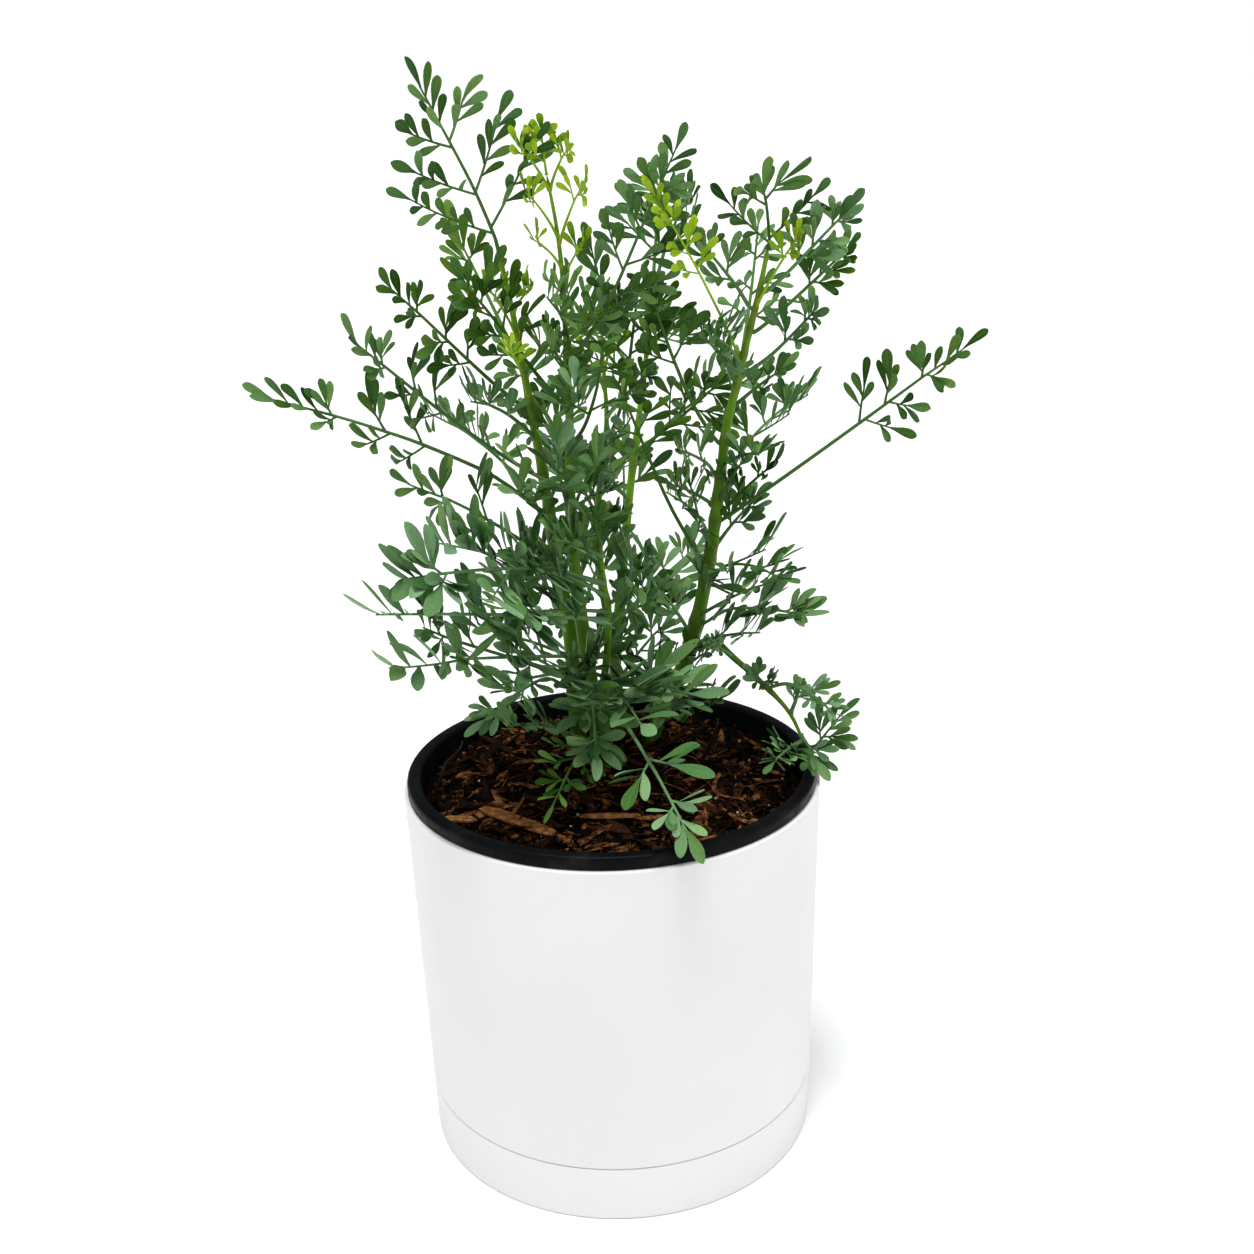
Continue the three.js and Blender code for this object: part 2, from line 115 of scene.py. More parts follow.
def lathe(profile):
    """Turns a closed profile about the Z axis: (r, z) at the angle a goes to (r cos a, r sin a, z)."""
    angles = np.linspace(0, 2 * math.pi, LATHE_STEPS, endpoint=False)
    radius, height = profile[:, :1], profile[:, 1:]
    points = np.stack([radius * np.cos(angles), radius * np.sin(angles), height + 0 * angles], axis=-1)
    here = np.arange(points.shape[0] * points.shape[1]).reshape(points.shape[:2])
    above, beside = np.roll(here, -1, axis=0), np.roll(here, -1, axis=1)
    faces = np.stack([here, beside, np.roll(above, -1, axis=1), above], axis=-1)
    return points.reshape(-1, 3), faces.reshape(-1, 4).tolist()


def add_piece(name, points, faces, finish, nodes=(), sharp=35, has_poles=False):
    """One object at the origin with its place in its mesh, smooth but for edges sharper than some degrees. It
    rides on the plant's only body and stands for the CAD nodes named. Poles become one point."""
    mesh = bpy.data.meshes.new(name)
    mesh.from_pydata(points.tolist(), [], faces)
    if has_poles:
        shape = bmesh.new()
        shape.from_mesh(mesh)
        bmesh.ops.remove_doubles(shape, verts=shape.verts, dist=POLE_WIDTH)
        shape.to_mesh(mesh)
        shape.free()
    mesh.shade_smooth()
    mesh.set_sharp_from_angle(angle=math.radians(sharp))
    mesh.materials.append(finish)
    piece = bpy.data.objects.new(name, mesh)
    bpy.context.collection.objects.link(piece)
    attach(piece, "root")
    if nodes:
        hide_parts(*nodes)
    return piece


def new_finish(name, roughness, specular=0.5):
    """A material's node tree and its shader, with the values that are the same all over set on the shader."""
    finish = bpy.data.materials.new(name)
    finish.use_nodes = True
    shader = finish.node_tree.nodes["Principled BSDF"]
    shader.inputs["Roughness"].default_value = roughness
    shader.inputs["Specular IOR Level"].default_value = specular
    return finish, finish.node_tree, shader


def object_noise(tree, scale, detail=3.0, stretch=(1.0, 1.0, 1.0)):
    """Noise on Object coordinates, scale times a metre, stretched along the axes."""
    place = tree.nodes.new("ShaderNodeTexCoord")
    mapping = tree.nodes.new("ShaderNodeMapping")
    mapping.inputs["Scale"].default_value = stretch
    noise = tree.nodes.new("ShaderNodeTexNoise")
    noise.inputs["Scale"].default_value = scale
    noise.inputs["Detail"].default_value = detail
    tree.links.new(place.outputs["Object"], mapping.inputs["Vector"])
    tree.links.new(mapping.outputs["Vector"], noise.inputs["Vector"])
    return noise.outputs["Fac"]


def ramp(tree, source, *stops):
    """A colour ramp over a source, from (place, colour) stops."""
    node = tree.nodes.new("ShaderNodeValToRGB")
    elements = node.color_ramp.elements
    while len(elements) < len(stops):
        elements.new(0.5)
    for element, (place, colour) in zip(elements, stops):
        element.position = place
        element.color = (*colour, 1.0)
    tree.links.new(source, node.inputs["Fac"])
    return node.outputs["Color"]


def rescale(tree, source, low, high):
    """Spreads the middle of a noise, where most of it lies, over low to high."""
    node = tree.nodes.new("ShaderNodeMapRange")
    node.inputs["From Min"].default_value = NOISE_MIDDLE[0]
    node.inputs["From Max"].default_value = NOISE_MIDDLE[1]
    node.inputs["To Min"].default_value = low
    node.inputs["To Max"].default_value = high
    tree.links.new(source, node.inputs["Value"])
    return node.outputs["Result"]


def add_bump(tree, shader, source, depth, normal=None):
    """Raises the surface by up to a depth in metres where the source is high."""
    node = tree.nodes.new("ShaderNodeBump")
    node.inputs["Distance"].default_value = depth
    tree.links.new(source, node.inputs["Height"])
    if normal:
        tree.links.new(normal, node.inputs["Normal"])
    tree.links.new(node.outputs["Normal"], shader.inputs["Normal"])
    return node.outputs["Normal"]


white_plastic, tree, shader = new_finish("satin_white_polypropylene", 0.45)
cloudy = ramp(tree, object_noise(tree, 14, 2), (0.3, (0.735, 0.735, 0.727)), (0.7, (0.76, 0.76, 0.752)))
tree.links.new(cloudy, shader.inputs["Base Color"])
tree.links.new(rescale(tree, object_noise(tree, 60, 4, (1, 1, 0.25)), 0.4, 0.5), shader.inputs["Roughness"])
waves = add_bump(tree, shader, object_noise(tree, 9, 1), 0.12 * MM)
add_bump(tree, shader, object_noise(tree, 2600, 2), 0.012 * MM, waves)

saucer_low, saucer_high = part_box("saucer")
saucer_foot = saucer_high.x - SAUCER_FLARE
saucer_profile = [
    (0, saucer_low.z),
    (saucer_foot, saucer_low.z),
    (saucer_high.x, saucer_high.z),
    (saucer_high.x - SAUCER_WALL, saucer_high.z),
    (saucer_foot - SAUCER_WALL, saucer_low.z + SAUCER_WALL),
    (0, saucer_low.z + SAUCER_WALL),
]
saucer_ease = [0, SAUCER_FOOT_EASE, MOULD_EASE, MOULD_EASE, SAUCER_WALL, 0]
saucer_points, saucer_faces = lathe(eased(saucer_profile, saucer_ease))
add_piece("drip_saucer", saucer_points, saucer_faces, white_plastic, ["saucer"],
          has_poles=True)

# ---- planter ----
# The planter is the same white polypropylene, a plain drum that widens slightly to its open top. Its foot
# steps in to stand in the saucer, and its shoulder closes on the saucer's rim.
PLANTER_WALL = 3.0 * MM
PLANTER_STEP_IN = 4.3 * MM
DRAIN_RADIUS = 7.0 * MM
SEAM = 0.3 * MM

planter_low, planter_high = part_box("planter")
shoulder = saucer_high.z + SEAM
planter_foot = saucer_high.x - PLANTER_STEP_IN - SAUCER_FLARE
planter_profile = [
    (DRAIN_RADIUS, planter_low.z),
    (planter_foot, planter_low.z),
    (planter_foot, shoulder),
    (saucer_high.x, shoulder),
    (planter_high.x, planter_high.z),
    (planter_high.x - PLANTER_WALL, planter_high.z),
    (planter_foot - PLANTER_WALL + SAUCER_FLARE, shoulder + PLANTER_WALL),
    (planter_foot - PLANTER_WALL, planter_low.z + PLANTER_WALL),
    (DRAIN_RADIUS, planter_low.z + PLANTER_WALL),
]
planter_points, planter_faces = lathe(eased(planter_profile, MOULD_EASE))
add_piece("white_planter", planter_points, planter_faces, white_plastic, ["planter"])

# ---- grower's pot ----
# The plant is still in its black grower's pot, vacuum formed in thin polystyrene. It hangs in the planter by
# its rolled lip, which has picked up pale scuffs and a little dust.
LIP_WIDTH = 6.0 * MM
LIP_HEIGHT = 5.6 * MM
LIP_EASE = 2.0 * MM
NURSERY_BASE_RADIUS = 66.0 * MM
NURSERY_WALL = 1.5 * MM
NURSERY_FLOOR = 2.0 * MM
DRAIN_HOLES = 6
DRAIN_RING = 42.0 * MM
DRAIN_HOLE_RADIUS = 4.5 * MM
DRAIN_HOLE_SIDES = 24

black_plastic, tree, shader = new_finish("scuffed_black_polystyrene", 0.4, 0.05)
dusty = ramp(tree, object_noise(tree, 55, 6), (0.35, (0.0012, 0.0014, 0.002)), (0.6, (0.0035, 0.004, 0.005)),
             (0.78, (0.018, 0.016, 0.014)))
tree.links.new(dusty, shader.inputs["Base Color"])
tree.links.new(rescale(tree, object_noise(tree, 240, 5), 0.32, 0.55), shader.inputs["Roughness"])
waves = add_bump(tree, shader, object_noise(tree, 22, 2), 0.5 * MM)
add_bump(tree, shader, object_noise(tree, 700, 4, (1, 1, 3)), 0.06 * MM, waves)

nursery_low, nursery_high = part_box("nursery_pot")
lip_under = nursery_high.z - LIP_HEIGHT
throat = nursery_high.x - LIP_WIDTH
slope = (throat - NURSERY_BASE_RADIUS) / (nursery_high.z - nursery_low.z)
nursery_profile = [
    (0, nursery_low.z),
    (NURSERY_BASE_RADIUS, nursery_low.z),
    (throat - slope * LIP_HEIGHT, lip_under),
    (nursery_high.x, lip_under),
    (nursery_high.x, nursery_high.z),
    (throat, nursery_high.z),
    (NURSERY_BASE_RADIUS - NURSERY_WALL, nursery_low.z + NURSERY_FLOOR),
    (0, nursery_low.z + NURSERY_FLOOR),
]
nursery_ease = [0, MOULD_EASE, MOULD_EASE, MOULD_EASE, LIP_EASE, LIP_EASE, MOULD_EASE, 0]
pot_points, pot_faces = lathe(eased(nursery_profile, nursery_ease))
growers_pot = add_piece("growers_pot", pot_points, pot_faces, black_plastic, ["nursery_pot"],
                        has_poles=True)

drill_shape = bmesh.new()
for hole in range(DRAIN_HOLES):
    angle = 2 * math.pi * hole / DRAIN_HOLES
    place = Matrix.Translation((DRAIN_RING * math.cos(angle), DRAIN_RING * math.sin(angle), nursery_low.z))
    bmesh.ops.create_cone(drill_shape, cap_ends=True, segments=DRAIN_HOLE_SIDES, radius1=DRAIN_HOLE_RADIUS,
                          radius2=DRAIN_HOLE_RADIUS, depth=4 * NURSERY_FLOOR, matrix=place)
drills = bpy.data.objects.new("drills", bpy.data.meshes.new("drills"))
drill_shape.to_mesh(drills.data)
drill_shape.free()
bpy.context.collection.objects.link(drills)
cut = growers_pot.modifiers.new("drain_holes", "BOOLEAN")
cut.object = drills
cut.operation = "DIFFERENCE"
settled = growers_pot.evaluated_get(bpy.context.evaluated_depsgraph_get())
drilled = bpy.data.meshes.new_from_object(settled)
growers_pot.modifiers.clear()
growers_pot.data = drilled
bpy.data.objects.remove(drills)

# ---- potting mix ----
# The pot is filled with composted bark and peat, nearly black when damp. It slumps in from the rim and is
# heaped round the crown of the plant. Its surface is loose crumbs, shreds of bark and fibres.
MIX_RINGS = 56
MIX_SPOKES = 200
MIX_SETTLE = 9.0 * MM
MIX_SPREAD = 6.0 * MM
SAME_POINT = 0.002 * MM
# The mix is uneven, in coarse lumps with a share of fine crumble over them.
LUMPS = 9 * MM
CRUMBLE = 4 * MM
CRUMBLE_SHARE = 0.7
CRUMB_RELIEF = 1.1 * MM
CRUMB_SINK = 1.2
RELIEF_STARTS = 6
# How many loose pieces of each kind lie on the mix, and their shortest and longest.
CRUMBS = 1300
CRUMB_SIZES = (1.0 * MM, 3.2 * MM)
SHREDS = 780
SHRED_LENGTHS = (4 * MM, 15 * MM)
SHRED_WIDEST = 4.2 * MM
FLAKES = 110
FLAKE_LENGTHS = (12 * MM, 25 * MM)
FIBRES = 260
FIBRE_LENGTHS = (9 * MM, 26 * MM)
PEARLS = 34
PEARL_SIZES = (0.6 * MM, 1.5 * MM)


def node_points(node):
    """The corners of a CAD node's mesh with doubles merged, and its edges as pairs of them."""
    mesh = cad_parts[node].data
    loose = np.empty(3 * len(mesh.vertices))
    mesh.vertices.foreach_get("co", loose)
    triangles = np.empty(3 * len(mesh.polygons), dtype=int)
    mesh.loops.foreach_get("vertex_index", triangles)
    rounded = np.round(loose.reshape(-1, 3) / SAME_POINT).astype(int)
    _, first, merged = np.unique(rounded, axis=0, return_index=True, return_inverse=True)
    corners = merged.ravel()[triangles].reshape(-1, 3)
    edges = np.vstack([corners[:, [0, 1]], corners[:, [1, 2]], corners[:, [2, 0]]])
    return loose.reshape(-1, 3)[first], edges


mix_low, mix_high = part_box("potting_mix")
mix_corners, _ = node_points("potting_mix")
mix_surface = mix_corners[mix_corners[:, 2] > mix_high.z - MIX_SETTLE]
mix_radius = np.hypot(mix_surface[:, 0], mix_surface[:, 1]).max()


def mix_height(x, y):
    """Height of the settled mix: the mean of the CAD surface's corner heights, each weighted by
    exp(-d^2 / 2s^2), with d its distance in plan and s the spread."""
    apart = (x[..., None] - mix_surface[:, 0]) ** 2 + (y[..., None] - mix_surface[:, 1]) ** 2
    weight = np.exp(-apart / (2 * MIX_SPREAD ** 2)) + 1e-12
    return (weight * mix_surface[:, 2]).sum(-1) / weight.sum(-1)


def rough(x, y, wavelength, random, waves=24):
    """Sum of plane waves, mean square 1: sqrt(2/n) sum cos(k x cos d + k y sin d + p), with k about one turn
    per wavelength and random directions d and phases p."""
    direction = random.uniform(0, 2 * math.pi, waves)
    phase = random.uniform(0, 2 * math.pi, waves)
    pace = 2 * math.pi / wavelength * random.uniform(0.6, 1.6, waves)
    turn = pace * (x[..., None] * np.cos(direction) + y[..., None] * np.sin(direction)) + phase
    return math.sqrt(2 / waves) * np.cos(turn).sum(-1)


def loop_faces(bodies, rows, columns, first=0):
    """Faces of closed bodies whose points run in rows of closed loops: the quads between rows and two end
    caps. The first point has the number given."""
    here = first + np.arange(bodies * rows * columns).reshape(bodies, rows, columns)
    beside = np.roll(here, -1, axis=2)
    quads = np.stack([here[:, :-1], beside[:, :-1], beside[:, 1:], here[:, 1:]], axis=-1).reshape(-1, 4)
    caps = np.vstack([here[:, 0, ::-1], here[:, -1]])
    return quads.tolist() + caps.tolist()


def unit(vectors):
    """Vectors at length one."""
    return vectors / np.linalg.norm(vectors, axis=-1, keepdims=True)


def set_numbers(piece, name, numbers):
    """Stores three numbers a point on a piece, for its material to read."""
    piece.data.attributes.new(name, "FLOAT_VECTOR", "POINT").data.foreach_set("vector", numbers.ravel())


random = np.random.default_rng(11)
ring = np.linspace(0.0, 1.0, MIX_RINGS)[:, None]
spoke = np.linspace(0, 2 * math.pi, MIX_SPOKES, endpoint=False)
mix_x, mix_y = mix_radius * ring * np.cos(spoke), mix_radius * ring * np.sin(spoke)
relief = rough(mix_x, mix_y, LUMPS, random) + CRUMBLE_SHARE * rough(mix_x, mix_y, CRUMBLE, random)
relief *= np.minimum(1, RELIEF_STARTS * ring)
mix_z = mix_height(mix_x, mix_y) + CRUMB_RELIEF * (relief - CRUMB_SINK)
top_points = np.stack([mix_x, mix_y, mix_z], axis=-1)[::-1]
deep_radius = np.hypot(mix_corners[:, 0], mix_corners[:, 1])[mix_corners[:, 2] < mix_low.z + MM].max()
deep_x, deep_y = deep_radius * np.cos(spoke), deep_radius * np.sin(spoke)
deep_points = np.stack([deep_x, deep_y, mix_low.z + 0 * spoke], axis=-1)
mix_points = np.concatenate([deep_points[None], top_points])
mix_faces = loop_faces(1, MIX_RINGS + 1, MIX_SPOKES)

damp_mix, tree, shader = new_finish("damp_potting_mix", 0.9, 0.03)
peaty = ramp(tree, object_noise(tree, 420, 8), (0.32, (0.0008, 0.0004, 0.0002)),
             (0.5, (0.004, 0.0017, 0.0007)), (0.66, (0.018, 0.0075, 0.003)), (0.8, (0.06, 0.027, 0.010)))
tree.links.new(peaty, shader.inputs["Base Color"])
add_bump(tree, shader, object_noise(tree, 900, 6), 0.9 * MM)
add_piece("potting_mix_bed", mix_points.reshape(-1, 3), mix_faces, damp_mix, ["potting_mix"],
          sharp=60, has_poles=True)


def scatter(count, random, rim):
    """Random places on the mix with its height there, spread evenly within a share of its radius."""
    radius = mix_radius * rim * np.sqrt(random.uniform(0, 1, count))
    angle = random.uniform(0, 2 * math.pi, count)
    x, y = radius * np.cos(angle), radius * np.sin(angle)
    return np.stack([x, y, mix_height(x, y)], axis=-1)


def stored_numbers(tree, name):
    """The three numbers that set_numbers stored at each point of a piece, for a material."""
    stored = tree.nodes.new("ShaderNodeAttribute")
    stored.attribute_name = name
    parts = tree.nodes.new("ShaderNodeSeparateXYZ")
    tree.links.new(stored.outputs["Vector"], parts.inputs["Vector"])
    return parts.outputs["X"], parts.outputs["Y"], parts.outputs["Z"]


def lying(count, random, tilt):
    """Random directions in plan, lifted and rolled by about a tilt, with those across and up from them."""
    heading = random.uniform(0, 2 * math.pi, count)
    lift = random.normal(0, tilt, count)
    along = np.stack([np.cos(heading) * np.cos(lift), np.sin(heading) * np.cos(lift), np.sin(lift)], axis=-1)
    roll = random.normal(0, tilt, count)[:, None]
    level = unit(np.cross(along, [0.0, 0.0, 1.0]))
    up = np.cos(roll) * np.cross(level, along) + np.sin(roll) * level
    return along, np.cross(along, up), up


def sweep(start, along, across, up, forwards, sideways, upwards):
    """Points of many small bodies at once: start + forwards*along + sideways*across + upwards*up, where the
    last three lists are [body, row, column] and the others [body, xyz]."""
    shape = np.broadcast_shapes(forwards.shape, sideways.shape, upwards.shape)
    spread = lambda lengths, way: np.broadcast_to(lengths, shape)[..., None] * way[:, None, None]
    return start[:, None, None] + spread(forwards, along) + spread(sideways, across) + spread(upwards, up)


def bark_pieces(name, places, length, width, thick, random, finish, tilt, rows, columns):
    """Shreds lying on the mix. Across a shred the skin is (w cos a, h sin a) with w full in the middle and
    ragged at the ends, along it runs from -l/2 to l/2, and it is bowed by b (2u - 1)^2."""
    count = len(places)
    along, across, up = lying(count, random, tilt)
    u = np.linspace(0, 1, rows)[None, :, None]
    a = np.linspace(0, 2 * math.pi, columns, endpoint=False)[None, None, :]
    full = (1 - 0.75 * np.abs(2 * u - 1) ** 3) * random.uniform(0.75, 1.2, (count, rows, 1))
    bow = random.normal(0, 0.08, (count, 1, 1)) * length[:, None, None] * (2 * u - 1) ** 2
    ragged = random.uniform(-0.07, 0.07, (count, rows, columns)) * length[:, None, None]
    forwards = (u - 0.5) * length[:, None, None] + ragged * (np.abs(2 * u - 1) > 0.9)
    sideways = full * width[:, None, None] / 2 * np.cos(a) + 2 * bow
    upwards = full * thick[:, None, None] / 2 * np.sin(a) + bow
    points = sweep(places, along, -across, up, forwards, sideways, upwards)
    piece = add_piece(name, points.reshape(-1, 3), loop_faces(count, rows, columns), finish, sharp=40)
    tone = np.broadcast_to(random.uniform(0, 1, (count, 1, 1, 1)) ** 1.6, points.shape)
    set_numbers(piece, "bark", tone)


def bark_finish(name, dark, middle, light):
    """Bark whose colour goes from piece to piece by its stored tone, with streaks of grain."""
    finish, tree, shader = new_finish(name, 0.85, 0.05)
    tone, _, _ = stored_numbers(tree, "bark")
    streaked = tree.nodes.new("ShaderNodeMath")
    streaked.operation = "MULTIPLY"
    tree.links.new(tone, streaked.inputs[0])
    tree.links.new(rescale(tree, object_noise(tree, 380, 5), 0.45, 1.3), streaked.inputs[1])
    bark = ramp(tree, streaked.outputs["Value"], (0.1, dark), (0.55, middle), (0.98, light))
    tree.links.new(bark, shader.inputs["Base Color"])
    add_bump(tree, shader, object_noise(tree, 1300, 5, (1, 1, 2)), 0.4 * MM)
    return finish


shred_finish = bark_finish("composted_bark", dark=(0.0015, 0.0006, 0.0003), middle=(0.040, 0.0145, 0.0044),
                           light=(0.25, 0.10, 0.033))
crumb_size = random.uniform(*CRUMB_SIZES, CRUMBS)
bark_pieces("mix_crumbs", scatter(CRUMBS, random, 0.985), crumb_size * 1.3, crumb_size, crumb_size * 0.8,
            random, shred_finish, tilt=0.7, rows=3, columns=5)

shred_length = random.uniform(*SHRED_LENGTHS, SHREDS)
shred_width = np.minimum(shred_length * random.uniform(0.12, 0.35, SHREDS), SHRED_WIDEST)
shred_places = scatter(SHREDS, random, 0.93) + [0, 0, 0.4 * MM]
shred_thick = random.uniform(0.6, 1.5, SHREDS) * MM
bark_pieces("bark_shreds", shred_places, shred_length, shred_width, shred_thick,
            random, shred_finish, tilt=0.22, rows=5, columns=6)

flake_length = random.uniform(*FLAKE_LENGTHS, FLAKES)
flake_places = scatter(FLAKES, random, 0.86) + [0, 0, 1.3 * MM]
flake_width = random.uniform(2.4, 5.5, FLAKES) * MM
flake_thick = random.uniform(0.8, 1.8, FLAKES) * MM
bark_pieces("bark_flakes", flake_places, flake_length, flake_width, flake_thick,
            random, shred_finish, tilt=0.16, rows=7, columns=8)

fibre_length = random.uniform(*FIBRE_LENGTHS, FIBRES)
fibre_width = random.uniform(0.35, 0.9, FIBRES) * MM
fibre_places = scatter(FIBRES, random, 0.85) + [0, 0, 1.2 * MM]
bark_pieces("coir_fibres", fibre_places, fibre_length, fibre_width, fibre_width * 0.8,
            random, shred_finish, tilt=0.16, rows=6, columns=4)

perlite, tree, shader = new_finish("perlite", 0.8, 0.3)
chalky = ramp(tree, object_noise(tree, 900, 4), (0.35, (0.32, 0.28, 0.22)), (0.65, (0.72, 0.7, 0.64)))
tree.links.new(chalky, shader.inputs["Base Color"])
pearl_size = random.uniform(*PEARL_SIZES, PEARLS)
pearl_places = scatter(PEARLS, random, 0.95) + [0, 0, 0.8 * MM]
bark_pieces("perlite_grains", pearl_places, pearl_size, pearl_size, pearl_size,
            random, perlite, tilt=0.7, rows=4, columns=6)

# ---- bark chips ----
# A few larger splinters of pine bark lie on top of the mix. They are orange brown on their torn faces, ridged
# along the grain, with broken ends.
CHIP_ROWS = 18
CHIP_COLUMNS = 14

splinter_finish = bark_finish("torn_pine_bark", dark=(0.04, 0.015, 0.005), middle=(0.16, 0.062, 0.02),
                              light=(0.34, 0.155, 0.055))
chip_names = sorted(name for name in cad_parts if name.startswith("bark_chip"))
for number, node in enumerate(chip_names):
    random = np.random.default_rng(40 + number)
    corners, _ = node_points(node)
    middle = (corners.min(axis=0) + corners.max(axis=0)) / 2
    _, _, axes = np.linalg.svd((corners - corners.mean(axis=0))[:, :2])
    along = np.array([*axes[0], 0.0])
    up = np.array([0.0, 0.0, 1.0])
    across = np.cross(along, up)
    half = np.abs((corners - middle) @ np.stack([along, across, up]).T).max(axis=0)
    u = np.linspace(0, 1, CHIP_ROWS)[None, :, None]
    a = np.linspace(0, 2 * math.pi, CHIP_COLUMNS, endpoint=False)[None, None, :]
    ridges = 1 - 0.22 * random.uniform(0, 1, (1, 1, CHIP_COLUMNS))
    full = (1 - 0.5 * np.abs(2 * u - 1) ** 4) * random.uniform(0.86, 1.0, (1, CHIP_ROWS, 1)) * ridges
    broken = 0.08 * random.uniform(-1, 0, (1, 1, CHIP_COLUMNS)) * np.abs(2 * u - 1) ** 6
    forwards = (2 * u - 1) * (1 + broken) * half[0]
    sideways = full * half[1] * np.sign(np.cos(a)) * np.abs(np.cos(a)) ** 0.6
    upwards = full * half[2] * np.sign(np.sin(a)) * np.abs(np.sin(a)) ** 0.7
    points = sweep(middle[None], along[None], -across[None], up[None], forwards, sideways, upwards)
    splinter = add_piece("bark_splinter_%02d" % (number + 1), points.reshape(-1, 3),
                         loop_faces(1, CHIP_ROWS, CHIP_COLUMNS), splinter_finish, [node], sharp=40)
    tone = random.uniform(0.6, 1.0, (1, 1, CHIP_COLUMNS, 1))
    set_numbers(splinter, "bark", np.broadcast_to(tone, points.shape))

# ---- canes ----
# Six green canes rise from the mix, and a low branch arches out from the right one. They are round and
# smooth, darker at the foot, a little thicker at each leaf joint, and paler and yellower towards the tips.
CANE_ROWS = 90
CANE_SIDES = 16
CAD_CANE_SIDES = 8
CAD_LEAF_SIDES = 4
CANE_TAPER = 0.35
JOINT_SWELLING = 0.22
JOINT_REACH = 3.2 * MM
CANE_END = 0.02


def sections(node, near, sides):
    """The loops of points along a CAD body, in order from the one nearest to some points. Each next loop is
    the neighbours, over the body's edges, of the loop before."""
    points, edges = node_points(node)
    joined = np.zeros((len(points), len(points)), dtype=bool)
    joined[edges[:, 0], edges[:, 1]] = True
    joined |= joined.T
    away = np.linalg.norm(points[:, None] - near[None], axis=-1).min(axis=1)
    loop = np.argsort(away)[:sides]
    loops = []
    seen = np.zeros(len(points), dtype=bool)
    while len(loop):
        if len(loop) != sides:
            raise ValueError(node + " has no clear order of sections")
        loops.append(loop)
        seen[loop] = True
        loop = np.flatnonzero(joined[loop].any(axis=0) & ~seen)
    return points, np.array(loops), joined


def smooth_path(points, count):
    """Evenly numbered places on the Catmull-Rom curve through points, which between p1 and p2 is p1 +
    t(p2-p0)/2 + t^2(2p0-5p1+4p2-p3)/2 + t^3(3p1-3p2+p3-p0)/2, carried on straight at its ends."""
    carried = np.vstack([2 * points[0] - points[1], points, 2 * points[-1] - points[-2]])
    place = np.linspace(0, len(points) - 1, count)
    span = np.minimum(place.astype(int), len(points) - 2)
    t = (place - span)[:, None]
    p0, p1, p2, p3 = (carried[span + step] for step in range(4))
    slope = t * (p2 - p0) / 2
    bend = t ** 2 * (2 * p0 - 5 * p1 + 4 * p2 - p3) / 2
    return p1 + slope + bend + t ** 3 * (3 * p1 - 3 * p2 + p3 - p0) / 2


def tube(path, radius, sides, upper):
    """A closed round skin about a path: c + r (n cos a + b sin a), with n the part of an upper direction that
    is square to the path and b square to both."""
    ahead = unit(np.gradient(path, axis=0))
    n = unit(upper - (upper * ahead).sum(-1, keepdims=True) * ahead)
    b = np.cross(ahead, n)
    a = np.linspace(0, 2 * math.pi, sides, endpoint=False)[None, :, None]
    radius = np.broadcast_to(radius, len(path))[:, None, None]
    return path[:, None] + radius * (n[:, None] * np.cos(a) + b[:, None] * np.sin(a))


cane_names = [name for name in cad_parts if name.endswith("_cane")] + ["low_branch"]
leaf_names = sorted(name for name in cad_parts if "_leaf_" in name)
cane_paths = {}
cane_radii = {}
for name in cane_names:
    corners, _ = node_points(name)
    foot = corners[np.argsort(corners[:, 2])[:CAD_CANE_SIDES]]
    if name == "low_branch":
        parent = cane_paths["right_cane"]
        foot = corners[np.argmin(np.linalg.norm(corners[:, None] - parent[None], axis=-1).min(axis=1))][None]
    points, loops, _ = sections(name, foot, CAD_CANE_SIDES)
    centres = points[loops].mean(axis=1)
    radii = np.linalg.norm(points[loops] - centres[:, None], axis=-1).mean(axis=1)
    cane_paths[name] = smooth_path(centres, CANE_ROWS)
    cane_radii[name] = np.interp(np.linspace(0, 1, CANE_ROWS), np.linspace(0, 1, len(radii)), radii)


def nearest_on_cane(cane, point):
    """The number of the place on a cane's path that is nearest to a point."""
    return int(np.argmin(np.linalg.norm(cane_paths[cane] - point, axis=-1)))


def leaf_spine(node):
    """The order of a leaf's CAD sections from its cane outwards."""
    return sections(node, cane_paths[node.split("_leaf_")[0]], CAD_LEAF_SIDES)


def blend(tree, factor, below, above, mode="MIX"):
    """One colour over another by a factor, each either a fixed colour or another node's."""
    node = tree.nodes.new("ShaderNodeMix")
    node.data_type = "RGBA"
    node.blend_type = mode
    for socket, value in (("Factor", factor), ("A", below), ("B", above)):
        if isinstance(value, bpy.types.NodeSocket):
            tree.links.new(value, node.inputs[socket])
        elif socket == "Factor":
            node.inputs[socket].default_value = value
        else:
            node.inputs[socket].default_value = (*value, 1.0)
    return node.outputs["Result"]


green_cane, tree, shader = new_finish("green_cane", 0.48, 0.12)
share_up, jointed, _ = stored_numbers(tree, "growth")
by_height = ramp(tree, share_up, (0.0, (0.045, 0.085, 0.012)), (0.16, (0.075, 0.18, 0.012)),
                 (0.5, (0.12, 0.27, 0.012)), (1.0, (0.19, 0.35, 0.02)))
mottle = ramp(tree, object_noise(tree, 160, 5, (1, 1, 0.2)), (0.3, (0.72, 0.8, 0.7)),
              (0.7, (1.1, 1.08, 1.15)))
mottled = blend(tree, 1.0, by_height, mottle, "MULTIPLY")
tree.links.new(blend(tree, jointed, mottled, (0.075, 0.07, 0.02)), shader.inputs["Base Color"])
add_bump(tree, shader, object_noise(tree, 420, 4, (1, 1, 0.12)), 0.25 * MM)

